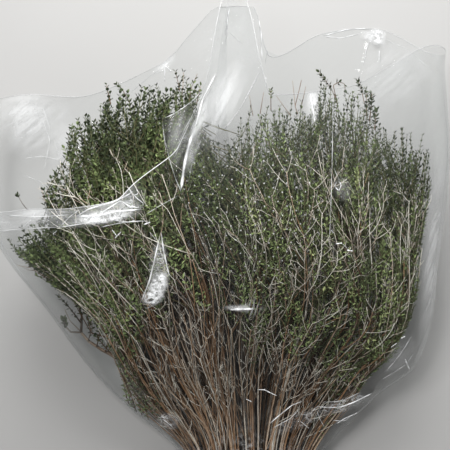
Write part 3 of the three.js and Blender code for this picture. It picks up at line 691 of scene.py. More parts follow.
# Sprigs that stand clear of the rest: the cell that they belong to, depth in the fan, radii at their two
# ends, the way that they take (X, Y), and their leaves as (from, to, pairs, length, tint).
SPRIGS = [
    # the bent branch outside the left edge
    (4, 0.2, (2.3, 1.7), [(-140, 116), (-158, 131), (-180, 144), (-196, 155), (-205, 166)], None),
    (4, 0.2, (1.7, 0.7), [(-205, 166), (-203, 185), (-208, 207), (-214, 221)], (0.4, 1, 10, 6, 0.15)),
    (4, 0.2, (1.2, 0.8), [(-205, 166), (-218, 166), (-224, 172), (-226, 181)], (0.62, 1, 9, 7.5, 0.3)),
    (4, 0.2, (0.7, 0.4), [(-206, 168), (-218, 180), (-224, 195)], None),
    (
        4, 0.3, (1.2, 0.5), [(-163, 147), (-174, 161), (-192, 166), (-194, 180), (-198, 198)],
        (0.4, 1, 11, 6, 0.2),
    ),
    (4, 0.3, (0.9, 0.5), [(-166, 137), (-176, 149), (-185, 161)], (0.3, 1, 7, 6, 0.25)),
    (4, 0.2, (0.9, 0.4), [(-204, 177), (-218, 197), (-230, 211)], (0.2, 1, 10, 6, 0.1)),
    (4, 0.3, (0.7, 0.35), [(-186, 149), (-181, 165), (-186, 181)], (0.3, 1, 6, 5, 0.2)),
    (4, 0.3, (0.7, 0.35), [(-176, 142), (-169, 157), (-173, 174)], (0.3, 1, 6, 5, 0.25)),
    (4, 0.3, (0.7, 0.35), [(-163, 135), (-160, 152), (-166, 168)], (0.4, 1, 5, 5, 0.2)),
    (4, 0.3, (0.7, 0.35), [(-196, 156), (-190, 173), (-193, 189), (-189, 207)], (0.3, 1, 8, 5, 0.15)),
    (4, 0.3, (0.7, 0.35), [(-205, 181), (-198, 196), (-202, 213)], (0.3, 1, 6, 5, 0.15)),
    (4, 0.3, (0.6, 0.3), [(-150, 124), (-155, 143), (-152, 160)], (0.5, 1, 5, 5, 0.25)),
    (4, 0.3, (0.6, 0.3), [(-192, 167), (-204, 190), (-212, 206), (-217, 221)], (0.5, 1, 6, 5, 0.15)),
    (4, 0.3, (1.1, 0.6), [(-140, 126), (-158, 151), (-171, 178), (-184, 207)], None),
    (4, 0.3, (0.9, 0.5), [(-158, 151), (-165, 181), (-180, 203), (-190, 224)], None),
    # green shoots low on the left: eight further in, and six nearer to the film
    *((4, 0.75, (0.8, 0.4), way, (0.1, 1, 11, 5, 0.3)) for way in [
        [(-149, 76), (-152, 97), (-153, 115)], [(-140, 65), (-144, 86), (-148, 105)],
        [(-133, 61), (-136, 81), (-139, 103)], [(-125, 55), (-128, 73), (-134, 92)],
        [(-143, 71), (-148, 89), (-145, 111)], [(-134, 73), (-137, 95), (-142, 119)],
        [(-122, 68), (-126, 87), (-131, 109)], [(-146, 86), (-150, 105), (-155, 121)],
    ]),
    *((4, 0.82, (0.8, 0.4), way, (0.1, 1, 11, 5, 0.28)) for way in [
        [(-115, 60), (-119, 79), (-123, 98)], [(-109, 68), (-112, 88), (-119, 106)],
        [(-126, 79), (-132, 101), (-138, 124)], [(-137, 87), (-142, 106), (-145, 127)],
        [(-106, 52), (-112, 68), (-113, 85)], [(-131, 64), (-132, 84), (-133, 101)],
    ]),
    # at the left end of the cuff
    (4, 0.6, (0.5, 0.3), [(-258, 312), (-267, 322), (-272, 331)], (0.9, 1, 2, 6, 0.0)),
    (4, 0.8, (0.5, 0.35), [(-226, 317), (-236, 325), (-239, 337)], (0.4, 1, 4, 4, 0.0)),
    # over the left lobe
    (8, 0.8, (0.5, 0.3), [(-158, 432), (-163, 454)], (0.2, 1, 6, 5, 0.2)),
    (12, 0.8, (0.5, 0.3), [(-136, 432), (-145, 448), (-151, 454)], (0.2, 1, 7, 5, 0.2)),
    (12, 0.8, (0.5, 0.3), [(-81, 448), (-86, 470)], (0.2, 1, 6, 5, 0.15)),
    (12, 0.8, (0.5, 0.3), [(-79, 438), (-77, 469)], (0.1, 1, 8, 5, 0.1)),
    (12, 0.85, (0.5, 0.3), [(-70, 436), (-68, 450), (-61, 466)], (0.1, 0.8, 6, 5.5, 0.6)),
    (12, 0.85, (0.5, 0.3), [(-62, 432), (-57, 452)], (0.0, 1, 7, 6, 0.75)),
    # dark closely leaved spikes over the right lobe
    (24, 0.85, (0.5, 0.4), [(96, 432), (90, 447), (83, 457), (75, 467)], (0.42, 1, 9, 5.8, 0.0)),
    (
        24, 0.85, (0.5, 0.4), [(95, 434), (91, 453), (98, 457), (104, 455), (105, 446)],
        (0.4, 1, 9, 5.6, 0.1),
    ),
    (24, 0.85, (0.5, 0.4), [(127, 434), (124, 447), (120, 459)], (0.35, 1, 9, 6.0, 0.0)),
    (24, 0.85, (0.6, 0.4), [(129, 420), (129, 448)], (0.1, 1, 10, 6.4, 0.2)),
    (24, 0.85, (0.6, 0.4), [(133, 414), (136, 445)], (0.3, 1, 9, 6.4, 0.15)),
    (24, 0.85, (0.6, 0.4), [(139, 404), (141, 426)], (0.3, 1, 7, 6.4, 0.15)),
    # bare tips over the right lobe
    (20, 0.85, (0.5, 0.3), [(51, 420), (48, 429), (45, 457)], None),
    *((20, 0.85, (0.45, 0.3), way, None) for way in [[(48, 429), (55, 458)], [(55, 429), (60, 451)]]),
    *((20, 0.85, (0.5, 0.3), way, None) for way in [
        [(43, 418), (27, 440)], [(9, 420), (13, 444)], [(1, 418), (-3, 440)],
    ]),
    (20, 0.85, (0.5, 0.3), [(21, 424), (21, 446)], (0.6, 1, 4, 5, 0.45)),
]
SPRIG_LEAF_WIDTH = (0.55, 0.7)  # in shares of a leaf's length


def sprig_parts(number, rng):
    """Stalks and leaves of the lone sprigs of a cell: a stalk goes straight from each point of its way
    to the next."""
    wood, green = [], []
    for owner, depth, radii, way, leafing in SPRIGS:
        if owner != number:
            continue
        x, y = np.array(way, float).T
        across, level = fan_place(x, y)
        knots, count = np.arange(len(way)), 4 * len(way)
        s = np.linspace(0, len(way) - 1, count)
        path = fan_point(np.interp(s, knots, across), depth, np.interp(s, knots, level))[None]
        look = wood_look(1, count, 0.0, 0.15, rng, shade=0.28)
        wood.append(rods(path, np.linspace(*radii, count)[None], 5, look))
        if leafing:
            first, last, pairs, length, tint = leafing
            t = np.linspace(first, last, pairs)[None]
            lengths = np.full((1, pairs), float(length))
            green += leaf_pairs(LEAF, path, t, lengths, SPRIG_LEAF_WIDTH, np.array([tint]), rng)
    return wood, green


# ---- film ----
START_TURN = -math.acos(-SHEET_START)
END_TURN = 2 * math.pi - math.acos(-SHEET_END)
LAPPED_FROM = 2 * math.pi + START_TURN


def is_upper(turn):
    """Whether the film lies on the fan's upper side at this turn round it."""
    return (turn < 0) | (turn > math.pi)


def film_base(turn, level):
    """The fan's own surface at a turn round it. The sheet begins on top, right of the middle, and goes
    round the left edge at 0, along the underside, and round the right edge at pi. It ends on top, past
    its own beginning: that is the lap."""
    return fan_point(-np.cos(turn), np.where(is_upper(turn), 1.0, -1.0), level)


def film_outward(turn, level):
    """The surface's normal, from small steps along both of its directions."""
    dt, dl = 0.02, 0.5
    a = film_base(turn + dt, level) - film_base(turn - dt, level)
    b = film_base(turn, level + dl) - film_base(turn, level - dl)
    return unit(np.cross(b, a))


def film_rim(turn):
    """The level at which the sheet ends, by the curve of its layer. The inner layer's curve is eased
    into the back's at the left edge."""
    across = -np.cos(turn)
    inner = lerp(RIM_BACK[0][1], curve(RIM_INNER, across), smooth(-turn / RIM_CORNER))
    outer = np.where(turn > math.pi, curve(RIM_OUTER, across), curve(RIM_BACK, across))
    return np.where(turn < 0, inner, outer)


def segment_distance(x, y, start, end):
    """Distance from points to a straight line between two places, and the share of the way along it."""
    (ax, ay), (bx, by) = start, end
    dx, dy = bx - ax, by - ay
    t = np.clip(((x - ax) * dx + (y - ay) * dy) / (dx * dx + dy * dy), 0, 1)
    return np.hypot(x - ax - t * dx, y - ay - t * dy), t


# Folds of the film: layer, how far the fold stands out, how wide its slopes are, how white the painted
# highlight along its edge is and how thick that edge is, and its corners (X, Y).
FOLDS = [
    # the cuff under the inner rim
    ("under", 3, 8, 1, 0.9, [(-195, 306), (-179, 315), (-153, 322), (-137, 329), (-129, 335)]),
    ("under", 3, 8, 1, 1.1, [(-194, 307), (-170, 307), (-148, 312), (-120, 314)]),
    ("under", 2, 7, 0.95, 0.8, [(-179, 303), (-153, 318), (-144, 324), (-137, 318), (-122, 315)]),
    ("under", 2, 7, 0.8, 0.5, [(-137, 340), (-127, 326), (-119, 320), (-122, 315)]),
    ("under", 2, 6, 0.8, 0.45, [(-129, 340), (-125, 331), (-131, 329), (-135, 337)]),
    ("under", 2, 7, 0.8, 0.6, [(-170, 294), (-146, 299), (-125, 301), (-112, 301)]),
    ("under", 2, 6, 0.95, 0.6, [(-153, 303), (-137, 300), (-129, 302), (-137, 310)]),
    ("under", 2, 7, 0.7, 0.55, [(-294, 292), (-252, 293), (-214, 295), (-170, 301)]),
    ("under", 2, 7, 0.75, 0.5, [(-280, 309), (-239, 307), (-199, 309)]),
    ("under", 2, 6, 0.7, 0.5, [(-263, 293), (-247, 303), (-239, 316)]),
    ("under", 2, 6, 0.65, 0.45, [(-213, 295), (-201, 307), (-187, 316)]),
    ("under", 2, 6, 1, 0.9, [(-120, 297), (-112, 300)]),
    ("under", 2, 6, 0.9, 0.7, [(-152, 282), (-144, 290)]),
    ("under", 2, 6, 0.9, 0.6, [(-155, 292), (-149, 284)]),
    ("under", 2, 6, 0.7, 0.5, [(-224, 286), (-218, 291)]),
    ("under", 2, 6, 0.6, 0.4, [(-113, 289), (-106, 280)]),
    # the caught triangle below it
    ("under", 4, 9, 1, 0.95, [(-101, 290), (-108, 260), (-114, 237), (-125, 211)]),
    ("under", 3, 8, 1, 0.9, [(-101, 290), (-98, 267), (-92, 239)]),
    ("under", 2, 8, 0.3, 0.4, [(-125, 211), (-120, 204), (-106, 209), (-92, 235)]),
    # the long ridge, the veil's far side and the flap
    ("over", 7, 16, 1.0, 1.9, [(-82, 333), (-72, 363), (-61, 400)]),
    ("over", 5, 16, 0.9, 1.2, [(-61, 400), (-52, 434), (-37, 464)]),
    ("over", 2, 10, 0.5, 0.5, [(-118, 308), (-102, 318), (-83, 329)]),
    ("over", 2, 9, 0.5, 0.5, [(-83, 382), (-73, 403), (-58, 428), (-49, 445)]),
    ("over", 2, 9, 0.35, 0.4, [(-88, 368), (-76, 392), (-66, 398), (-57, 420)]),
    ("over", 2, 9, 0.3, 0.35, [(-70, 340), (-62, 372), (-52, 396)]),
    ("over", 4, 20, 0.3, 0.7, [(-33, 397), (-14, 422), (11, 471)]),
    # glints over the right lobe
    ("over", 3, 7, 1.0, 1.5, [(-24, 202), (-9, 203), (5, 204)]),
    ("over", 3, 12, 0.9, 1.0, [(62, 443), (65, 428), (68, 408)]),
    ("over", 2, 10, 0.5, 0.5, [(89, 446), (88, 402), (87, 357), (86, 324), (85, 272)]),
    ("over", 2, 7, 0.5, 0.45, [(89, 360), (93, 351), (96, 345)]),
    ("over", 2, 6, 1, 0.65, [(93, 345), (90, 339), (95, 334), (98, 341), (95, 345)]),
    ("over", 2, 6, 0.3, 0.4, [(96, 349), (106, 344), (114, 329)]),
    ("over", 2, 6, 1, 0.8, [(92, 276), (100, 277)]),
    ("over", 2, 6, 0.5, 0.4, [(99, 277), (107, 270)]),
    ("over", 2, 6, 1, 0.85, [(105, 269), (112, 268)]),
    ("over", 2, 6, 0.7, 0.5, [(86, 292), (90, 288)]),
    # crushed places near the stems
    ("over", 4, 9, 1, 0.95, [(104, 75), (127, 84), (148, 95)]),
    ("over", 3, 8, 0.85, 0.6, [(80, 78), (104, 77), (122, 81)]),
    ("over", 2, 7, 0.6, 0.5, [(85, 84), (115, 86), (137, 97)]),
    ("over", 3, 8, 0.95, 0.8, [(22, 54), (37, 68), (51, 81), (64, 86)]),
    ("over", 2, 7, 0.8, 0.5, [(27, 49), (49, 63), (61, 75)]),
    ("over", 3, 7, 0.95, 0.7, [(105, 54), (119, 62), (134, 67)]),
    ("over", 2, 6, 0.8, 0.5, [(99, 60), (118, 57), (126, 65)]),
    ("over", 2, 6, 0.8, 0.5, [(81, 73), (85, 62), (92, 48)]),
    ("over", 2, 6, 0.8, 0.5, [(72, 67), (83, 80)]),
    ("over", 2, 6, 0.8, 0.45, [(61, 59), (73, 48)]),
    ("over", 3, 8, 1, 0.7, [(8, 102), (17, 102), (33, 93)]),
    ("over", 2, 6, 0.9, 0.6, [(-5, 89), (3, 85)]),
    ("over", 3, 8, 1, 0.95, [(181, 141), (186, 132), (191, 123)]),
    ("over", 2, 6, 0.9, 0.7, [(173, 166), (179, 169)]),
    ("over", 2, 6, 0.8, 0.6, [(163, 155), (170, 161)]),
    ("over", 2, 8, 0.5, 0.5, [(158, 118), (173, 142), (188, 171)]),
    ("over", 2, 8, 0.5, 0.45, [(154, 109), (171, 121), (185, 133), (192, 148)]),
    ("under", 3, 7, 0.8, 0.5, [(-106, 60), (-95, 50)]),
    # the back layer above the leaves
    ("back", 4, 12, 0.5, 0.5, [(-226, 425), (-234, 398), (-240, 361), (-238, 329)]),
    ("back", 4, 12, 0.45, 0.45, [(-263, 434), (-254, 406), (-261, 365)]),
    ("back", 3, 12, 0.5, 0.45, [(-287, 381), (-263, 385), (-245, 381), (-231, 390)]),
    ("back", 3, 12, 0.45, 0.45, [(-290, 362), (-265, 352), (-251, 329)]),
    ("back", 4, 12, 0.9, 0.8, [(-24, 578), (-26, 566), (-29, 548)]),
    ("back", 4, 12, 0.8, 0.8, [(14, 578), (17, 549), (18, 506)]),
    ("back", 3, 10, 0.3, 0.4, [(26, 536), (22, 504)]),
    ("back", 3, 10, 0.5, 0.4, [(-24, 546), (-7, 530)]),
    ("back", 3, 10, 0.9, 0.6, [(23, 489), (23, 474)]),
    ("back", 4, 12, 0.9, 0.6, [(96, 541), (125, 549), (160, 556)]),
    ("back", 3, 10, 0.8, 0.5, [(96, 541), (119, 538), (147, 545)]),
    ("back", 4, 12, 0.7, 0.6, [(159, 540), (152, 525), (147, 502)]),
    ("back", 3, 10, 0.7, 0.8, [(168, 522), (167, 505)]),
    ("back", 4, 10, 0.8, 0.7, [(-108, 482), (-108, 502), (-102, 508)]),
    ("back", 3, 9, 0.9, 0.8, [(-108, 503), (-99, 495)]),
    ("back", 4, 12, 0.2, 0.4, [(-108, 502), (-126, 490), (-152, 468)]),
    ("back", 4, 12, 0.3, 0.5, [(-286, 446), (-262, 447), (-240, 380), (-244, 330)]),
    ("back", 4, 14, 0.2, 0.5, [(165, 541), (200, 524), (232, 488)]),
]
# Patches of painted sheen and glints, and of crumple: layer, middle, half lengths, turn in degrees,
# sheen and crumple.
PATCHES = [
    ("over", (-34, 430), (18, 50), -26, 0.24, 0.0),
    ("over", (-58, 402), (7, 46), -16, 0.34, 0.0),
    ("over", (-80, 398), (16, 38), -8, 0.15, 0.0),
    ("under", (-163, 306), (33, 7), 6, 0.72, 0.5),
    ("under", (-133, 318), (11, 9), 0, 0.1, 0.6),
    ("under", (-105, 230), (8, 15), -25, 1.0, 0.6),
    ("under", (-111, 217), (10, 7), 20, 0.7, 0.9),
    ("under", (-104, 256), (8, 22), -6, 0.15, 0.6),
    ("over", (-9, 204), (20, 3), 0, 0.5, 0.4),
    ("over", (66, 430), (5, 20), 0, 0.4, 0.2),
    ("over", (99, 336), (9, 14), 24, 0.09, 0.2),
    ("over", (62, 60), (30, 9), 26, 0.03, 0.6),
    ("over", (116, 80), (32, 8), 16, 0.05, 0.7),
    ("over", (176, 144), (12, 26), -28, 0.1, 0.3),
    ("over", (211, 262), (13, 120), -4, 0.33, 0.0),
    ("under", (-100, 56), (12, 10), 0, 0.1, 0.8),
    ("back", (165, 540), (10, 9), 0, 0.6, 0.8),
    ("back", (185, 490), (44, 42), 30, 0.12, 0.1),
    ("back", (-280, 430), (34, 46), 0, 0.3, 0.08),
    ("back", (-235, 400), (20, 60), 8, 0.2, 0.05),
    ("back", (-104, 503), (9, 8), 0, 0.4, 0.4),
    ("back", (-8, 530), (34, 60), 0, 0.06, 0.1),
    ("back", (-50, 520), (30, 46), -10, 0.06, 0.1),
]
PINHOLES = {"middle": (-5, 312), "reach": (88, 92)}
CUFF = {"width": 17, "hem": 26, "soft": 4, "from": 0.31, "to": 0.4}
# Thin edges of the sheet, white with painted highlights: stretches of its rim as (from, to, points,
# whiteness), its ends as (turn, lowest level, whiteness), and its sides as (turn, highest level, seed).
RIM_EDGES = [
    (START_TURN, -0.03, 150, 0.8), (0.02, 3.12, 160, 0.3), (3.17, END_TURN, 150, 0.3),
    (4.74, END_TURN, 40, 0.75),
]
END_EDGES = [(START_TURN, 500, 0.3), (END_TURN, 335, 0.5)]
SIDE_EDGES = [(0.0, 530, 3), (math.pi, 546, 5)]
EDGE_RADIUS = {"rim": 0.55, "end": 0.45, "side": 0.5}


def on_layer(turn, layer):
    """Whether a turn is on a layer: the back along the underside, or on top the left part, which goes on
    under the lap, or the right part, which goes over it."""
    if layer == "back":
        return ~is_upper(turn)
    return (turn < 0) if layer == "under" else (turn > math.pi)


def cuff_share(turn, level, width):
    """1 inside a band of this width under the inner rim, on the left lobe, and 0 outside."""
    band = smooth((level - film_rim(turn) + width) / CUFF["soft"])
    return (turn < -0.02) * band * smooth((np.cos(turn) - CUFF["from"]) / (CUFF["to"] - CUFF["from"]))


def film_relief(turn, level):
    """How far the film stands out from the fan's surface: slow billows, small creases, folds as rounded
    ridges, pleats that run out of the neck and die away, a flared hem below the band, and a rolled cuff
    under the inner rim."""
    spot = film_base(turn, level)
    x, y = spot[..., 0], spot[..., 1]
    upper = is_upper(turn)
    broad, narrow = RELIEF["billows"]
    billow = broad * np.sin(x / 46 + 1.3 * np.sin(y / 71)) * np.sin(y / 58 + 0.8)
    billow = billow + narrow * np.sin((x + 0.6 * y) / 23 + 2)
    relief = np.where(upper, RELIEF["top"] + billow, 0.6 * billow + RELIEF["underside"])
    for start, end, rise, slope in small_creases():
        d, t = segment_distance(x, y, start, end)
        relief += rise * np.exp(-((d / slope) ** 1.4)) * np.sin(np.pi * np.clip(t, 0.02, 0.98)) ** 0.5
    for layer, rise, slope, _, _, way in FOLDS:
        here = on_layer(turn, layer)
        for start, end in zip(way, way[1:]):
            d, _ = segment_distance(x, y, start, end)
            relief = np.maximum(relief, np.where(here, rise * (1 - smooth(d / slope)) + 0.5 * billow, -9))
    wave = 0.55 * np.sin(19 * turn + 0.02 * level) + 0.45 * np.sin(31 * turn - 0.015 * level + 1)
    pleat = np.exp(-(((level + 20) / 85) ** 2))
    relief = lerp(relief, RELIEF["pleats"] * wave - 0.6, np.clip(pleat, 0, 1))
    flared = smooth((BAND_PLANE - 8 - y) / 16)
    flare, flutes = RELIEF["flare"]
    relief = relief + flared * (flare + flutes * np.sin(13 * turn))
    roll, lumps = RELIEF["cuff"]
    rolled = cuff_share(turn, level, CUFF["hem"])
    relief = relief + rolled * (roll + lumps * np.sin(x / 17) * np.sin(y / 5))
    return np.clip(relief, *FILM_LIMITS)


def small_creases():
    """Short shallow creases and dents in seeded random places, most of them along the stems, as (start,
    end, how far each stands out, how wide its slopes are)."""
    rng = np.random.default_rng(41)
    for _ in range(CREASES["count"]):
        across, level = rng.uniform(-CREASES["across"], CREASES["across"]), rng.uniform(*CREASES["level"])
        x, y = fan_point(across, 1.0, level)[:2]
        lean = float(fan_angle(across, level)) + rng.normal(0, CREASES["lean"])
        half = rng.uniform(*CREASES["half"])
        dx, dy = half * math.sin(lean), half * math.cos(lean)
        rise = rng.choice([-1, 1]) * rng.uniform(*CREASES["rise"])
        yield (x - dx, y - dy), (x + dx, y + dy), rise, rng.uniform(*CREASES["slope"])


def film_point(turn, level, inward=0.0):
    """The fan's surface moved out along its normal by the relief, and further by the lap where the sheet
    comes round over its own beginning. All of it is held just above the floor."""
    lap = FILM_LAP * smooth((turn - LAPPED_FROM + 0.5) / 0.45)
    out = film_relief(turn, level) + lap - inward
    points = film_base(turn, level) + film_outward(turn, level) * out[..., None]
    points[..., 2] = np.maximum(points[..., 2], 0.3 + inward)
    return points


def film_grid():
    """Turns and levels of the sheet's grid: closer together on the upper side, evenly from hem to rim."""
    columns = np.concatenate([
        np.linspace(START_TURN, 0, FILM_GRID["under"], endpoint=False),
        np.linspace(0, math.pi, FILM_GRID["back"], endpoint=False),
        np.linspace(math.pi, END_TURN, FILM_GRID["over"]),
    ])
    rows = FILM_GRID["rows"]
    turn = np.repeat(columns[:, None], rows, axis=1)
    hem = level_at_plane(-np.cos(turn), HEM_PLANE)
    return turn, lerp(hem, film_rim(turn), np.linspace(0, 1, rows)[None])


def film_look(turn, level):
    """look of the film at points: painted sheen, crumple, which also sets where glints are painted, the
    painted highlight of a fold's edge, which is 0 on the sheet itself, and the mark of its layer, which is
    0 on the left part and rises where the film is pierced."""
    spot = film_base(turn, level)
    x, y = spot[..., 0], spot[..., 1]
    sheen = SHEEN_AND_CRUMPLE["least"] + SHEEN_AND_CRUMPLE["head"] * smooth((y - SHEEN_AND_CRUMPLE["from"]) / SHEEN_AND_CRUMPLE["over"])
    crumple = SHEEN_AND_CRUMPLE["crumple"] * np.ones_like(x)
    for layer, (cx, cy), (rx, ry), degrees, white, crushed in PATCHES:
        c, s = math.cos(math.radians(degrees)), math.sin(math.radians(degrees))
        u, v = (x - cx) * c + (y - cy) * s, (y - cy) * c - (x - cx) * s
        near = smooth((1.35 - np.hypot(u / rx, v / ry)) / (1.2 - 0.75 * crushed)) * on_layer(turn, layer)
        sheen, crumple = np.maximum(sheen, white * near), np.maximum(crumple, crushed * near)
    cuff = 0.08 * cuff_share(turn, level, CUFF["width"]) + 0.2 * cuff_share(turn, level, CUFF["hem"])
    sheen, crumple = np.maximum(sheen, cuff), np.maximum(crumple, 0.25 * cuff)
    neck = np.exp(-(((level + 20) / 60) ** 2))
    crumple = np.maximum(crumple, 0.5 * neck)
    (cx, cy), (rx, ry) = PINHOLES["middle"], PINHOLES["reach"]
    pierced = smooth((1.2 - np.hypot((x - cx) / rx, (y - cy) / ry)) / 0.5)
    mark = (LAYER_MARK["over"] + LAYER_MARK["pierced"] * pierced) * on_layer(turn, "over")
    mark = mark + LAYER_MARK["back"] * on_layer(turn, "back")
    return np.stack([sheen, crumple, np.zeros_like(sheen), mark], -1)


def film_sheet():
    """The sheet as a closed shell: the grid's outer side, its inner side, and a strip of faces that
    joins them along the four edges."""
    turn, level = film_grid()
    columns, rows = turn.shape
    outer, inner = film_point(turn, level), film_point(turn, level, FILM_THICKNESS)
    look = film_look(turn, level)
    flat = film_base(turn, level)
    number = np.arange(columns * rows).reshape(columns, rows)
    a, b, c, d = number[:-1, :-1], number[1:, :-1], number[1:, 1:], number[:-1, 1:]
    face = np.stack([a, d, c, b], -1).reshape(-1, 4)
    edge = np.concatenate([number[:, 0], number[-1, 1:], number[-2::-1, -1], number[0, -2:0:-1]])
    turned, m = np.roll(edge, -1), columns * rows
    rim = np.stack([edge, turned, turned + m, edge + m], -1)
    return {
        "points": np.concatenate([outer.reshape(-1, 3), inner.reshape(-1, 3)]),
        "quads": np.concatenate([face, face[:, ::-1] + m, rim[:, ::-1]]),
        "tris": np.zeros((0, 3), int),
        "look": np.concatenate([look.reshape(-1, 4)] * 2),
        "grain": np.concatenate([flat.reshape(-1, 3)] * 2),
    }


def layer_turn(across, layer):
    """The turn at which a layer of the film is this far across."""
    turn = np.arccos(np.clip(-across, -0.9995, 0.9995))
    return {"back": turn, "under": -turn, "over": 2 * math.pi - turn}[layer]


def edge_rod(turn, level, radius, white, seed):
    """A slim rod along a line on the film. Its whiteness, a painted highlight, rises and falls along it.
    """
    rng = np.random.default_rng(seed)
    count = len(turn)
    s = np.linspace(0, 1, count)
    path = (film_point(turn, level) + film_point(turn, level, FILM_THICKNESS)) / 2
    swell = 0.72 + 0.28 * np.sin(2 * np.pi * (s * rng.uniform(1.5, 4) + rng.uniform()))
    ends = np.clip(np.minimum(s, 1 - s) * 8, 0.12, 1)
    look = np.stack([np.zeros(count), np.zeros(count), white * swell * ends, np.zeros(count)], -1)
    return rods(path[None], (radius * ends * lerp(0.6, 1, swell))[None], 4, look[None])


def fold_edges():
    """Edges along the folds, and thin ones along the sheet's own rim, ends and sides: painted
    highlights.
    """
    parts = []
    for index, (layer, _, _, white, radius, way) in enumerate(FOLDS):
        x, y = np.array(way, float).T
        stretch = np.concatenate([[0], np.cumsum(np.hypot(np.diff(x), np.diff(y)))])
        s = np.linspace(0, stretch[-1], max(10, int(stretch[-1] / 4)))
        across, level = fan_place(np.interp(s, stretch, x), np.interp(s, stretch, y))
        turn = layer_turn(across, layer)
        level = np.minimum(level, film_rim(turn) - 1)
        parts.append(edge_rod(turn, level, radius, white, index))
    for low, high, count, white in RIM_EDGES:
        turn = np.linspace(low, high, count)
        parts.append(edge_rod(turn, film_rim(turn) - 0.5, EDGE_RADIUS["rim"], white, count))
    for turn_at, begin, white in END_EDGES:
        level = np.linspace(begin, float(film_rim(np.array(turn_at))) - 1, 60)
        parts.append(edge_rod(np.full(60, turn_at), level, EDGE_RADIUS["end"], white, 7))
    for turn_at, top, seed in SIDE_EDGES:
        level = np.linspace(70, top, 150)
        parts.append(edge_rod(np.full(150, turn_at), level, EDGE_RADIUS["side"], 0.3, seed))
    return parts


# ---- band ----
def neck_outline(count):
    """The outline of the neck in the band's plane, and the outward direction at each point."""
    turn = 2 * np.pi * np.arange(count) / count
    level = level_at_plane(-np.cos(turn), BAND_PLANE)
    out = film_outward(turn, level) * [1, 0, 1]
    return turn, film_base(turn, level) * [1, 0, 1], unit(out)


def band_strand(shift, size, seed, count=200, corners=10):
    """One turn of the rubber band: a rounded strip carried round the neck, wavering along the stems
    and twisting slightly. The ring closes on itself."""
    turn, outline, out = neck_outline(count)
    middle = BAND["clearance"] + BAND["thickness"] * (0.5 + 0.2 * np.sin(3 * turn + seed))
    waver = shift + 0.7 * np.sin(2 * turn + seed) + 0.35 * np.sin(5 * turn + 2 * seed)
    path = outline + out * middle[:, None] + np.array([0, 1, 0]) * (BAND_PLANE + waver)[:, None]
    angle = 2 * np.pi * np.arange(corners) / corners
    twist = 0.25 * np.sin(2 * turn + seed)[:, None]
    u = size[0] / 2 * np.sign(np.cos(angle)) * np.abs(np.cos(angle)) ** 0.6
    v = size[1] / 2 * np.sign(np.sin(angle)) * np.abs(np.sin(angle)) ** 0.6
    along = u * np.cos(twist) - v * np.sin(twist)
    away = u * np.sin(twist) + v * np.cos(twist)
    points = path[:, None] + along[..., None] * np.array([0, 1, 0]) + away[..., None] * out[:, None]
    number = np.arange(count * corners).reshape(count, corners)
    nxt, side = np.roll(number, -1, 0), np.roll(number, -1, 1)
    quads = np.stack([number, side, np.roll(nxt, -1, 1), nxt], -1).reshape(-1, 4)
    length = np.cumsum(np.linalg.norm(np.roll(path, -1, 0) - path, axis=1))
    grain = np.stack(np.broadcast_arrays(u[None], v[None], length[:, None]), -1)
    return {
        "points": points.reshape(-1, 3), "quads": quads, "tris": np.zeros((0, 3), int),
        "look": np.full((count * corners, 4), [0.5, seed / 9, 0, 1]), "grain": grain.reshape(-1, 3),
    }


# ---- materials ----
def node(tree, kind, values=None, **settings):
    """Adds a shader node. Values set its inputs by name or number, and a socket among them is linked."""
    made = tree.nodes.new("ShaderNode" + kind)
    for key, value in settings.items():
        setattr(made, key, value)
    for key, value in (values or {}).items():
        if isinstance(value, bpy.types.NodeSocket):
            tree.links.new(value, made.inputs[key])
        else:
            made.inputs[key].default_value = value
    return made


def ramp(tree, factor, stops):
    """A colour ramp with (position, colour) stops."""
    made = node(tree, "ValToRGB", {"Fac": factor})
    elements = made.color_ramp.elements
    while len(elements) < len(stops):
        elements.new(0.5)
    for element, (position, colour) in zip(elements, stops):
        element.position = position
        element.color = (*colour, 1) if len(colour) == 3 else colour
    return made.outputs["Color"]


def math_node(tree, operation, a, b=0.0, clamp=False):
    return node(tree, "Math", {0: a, 1: b}, operation=operation, use_clamp=clamp).outputs[0]


def times(tree, a, b, clamp=False):
    return math_node(tree, "MULTIPLY", a, b, clamp)


def vector_math(tree, operation, a, b):
    return node(tree, "VectorMath", {0: a, 1: b}, operation=operation).outputs[0]


def remap(tree, value, low, high, to_low, to_high):
    """The value, carried from one range to another and held inside it."""
    return node(tree, "MapRange", {0: value, 1: low, 2: high, 3: to_low, 4: to_high}).outputs[0]


def noise(tree, place, scale, detail):
    return node(tree, "TexNoise", {"Vector": place, "Scale": scale, "Detail": detail}).outputs


def point_value(tree, name):
    return node(tree, "Attribute", attribute_name=name).outputs


def channels(tree, colour):
    return node(tree, "SeparateColor", {0: colour}).outputs


def mix_colour(tree, factor, a, b, blend="MIX"):
    """One colour over another, or times it. Each is a socket or three numbers."""
    a, b = (v if isinstance(v, bpy.types.NodeSocket) else (*v, 1) for v in (a, b))
    return node(tree, "Mix", {0: factor, 6: a, 7: b}, data_type="RGBA", blend_type=blend).outputs[2]


def bumps(tree, height, strength, distance):
    return node(tree, "Bump", {"Height": height, "Strength": strength, "Distance": distance}).outputs[0]


def group(name, inputs, outputs):
    """A shader node group with named sockets, given as (name, kind, value)."""
    tree = bpy.data.node_groups.new(name, "ShaderNodeTree")
    for title, kind, value in inputs:
        socket = tree.interface.new_socket(title, in_out="INPUT", socket_type="NodeSocket" + kind)
        if value is not None:
            socket.default_value = value
    for title, kind in outputs:
        tree.interface.new_socket(title, in_out="OUTPUT", socket_type="NodeSocket" + kind)
    return tree, tree.nodes.new("NodeGroupInput").outputs, tree.nodes.new("NodeGroupOutput").inputs


def material(name):
    made = bpy.data.materials.new(name)
    made.use_nodes = True
    tree = made.node_tree
    tree.nodes.clear()
    return made, tree, node(tree, "OutputMaterial").inputs["Surface"]


def use_group(group_tree, tree, values):
    return node(tree, "Group", values, node_tree=group_tree).outputs


def principled(tree, surface, values):
    tree.links.new(node(tree, "BsdfPrincipled", values).outputs[0], surface)


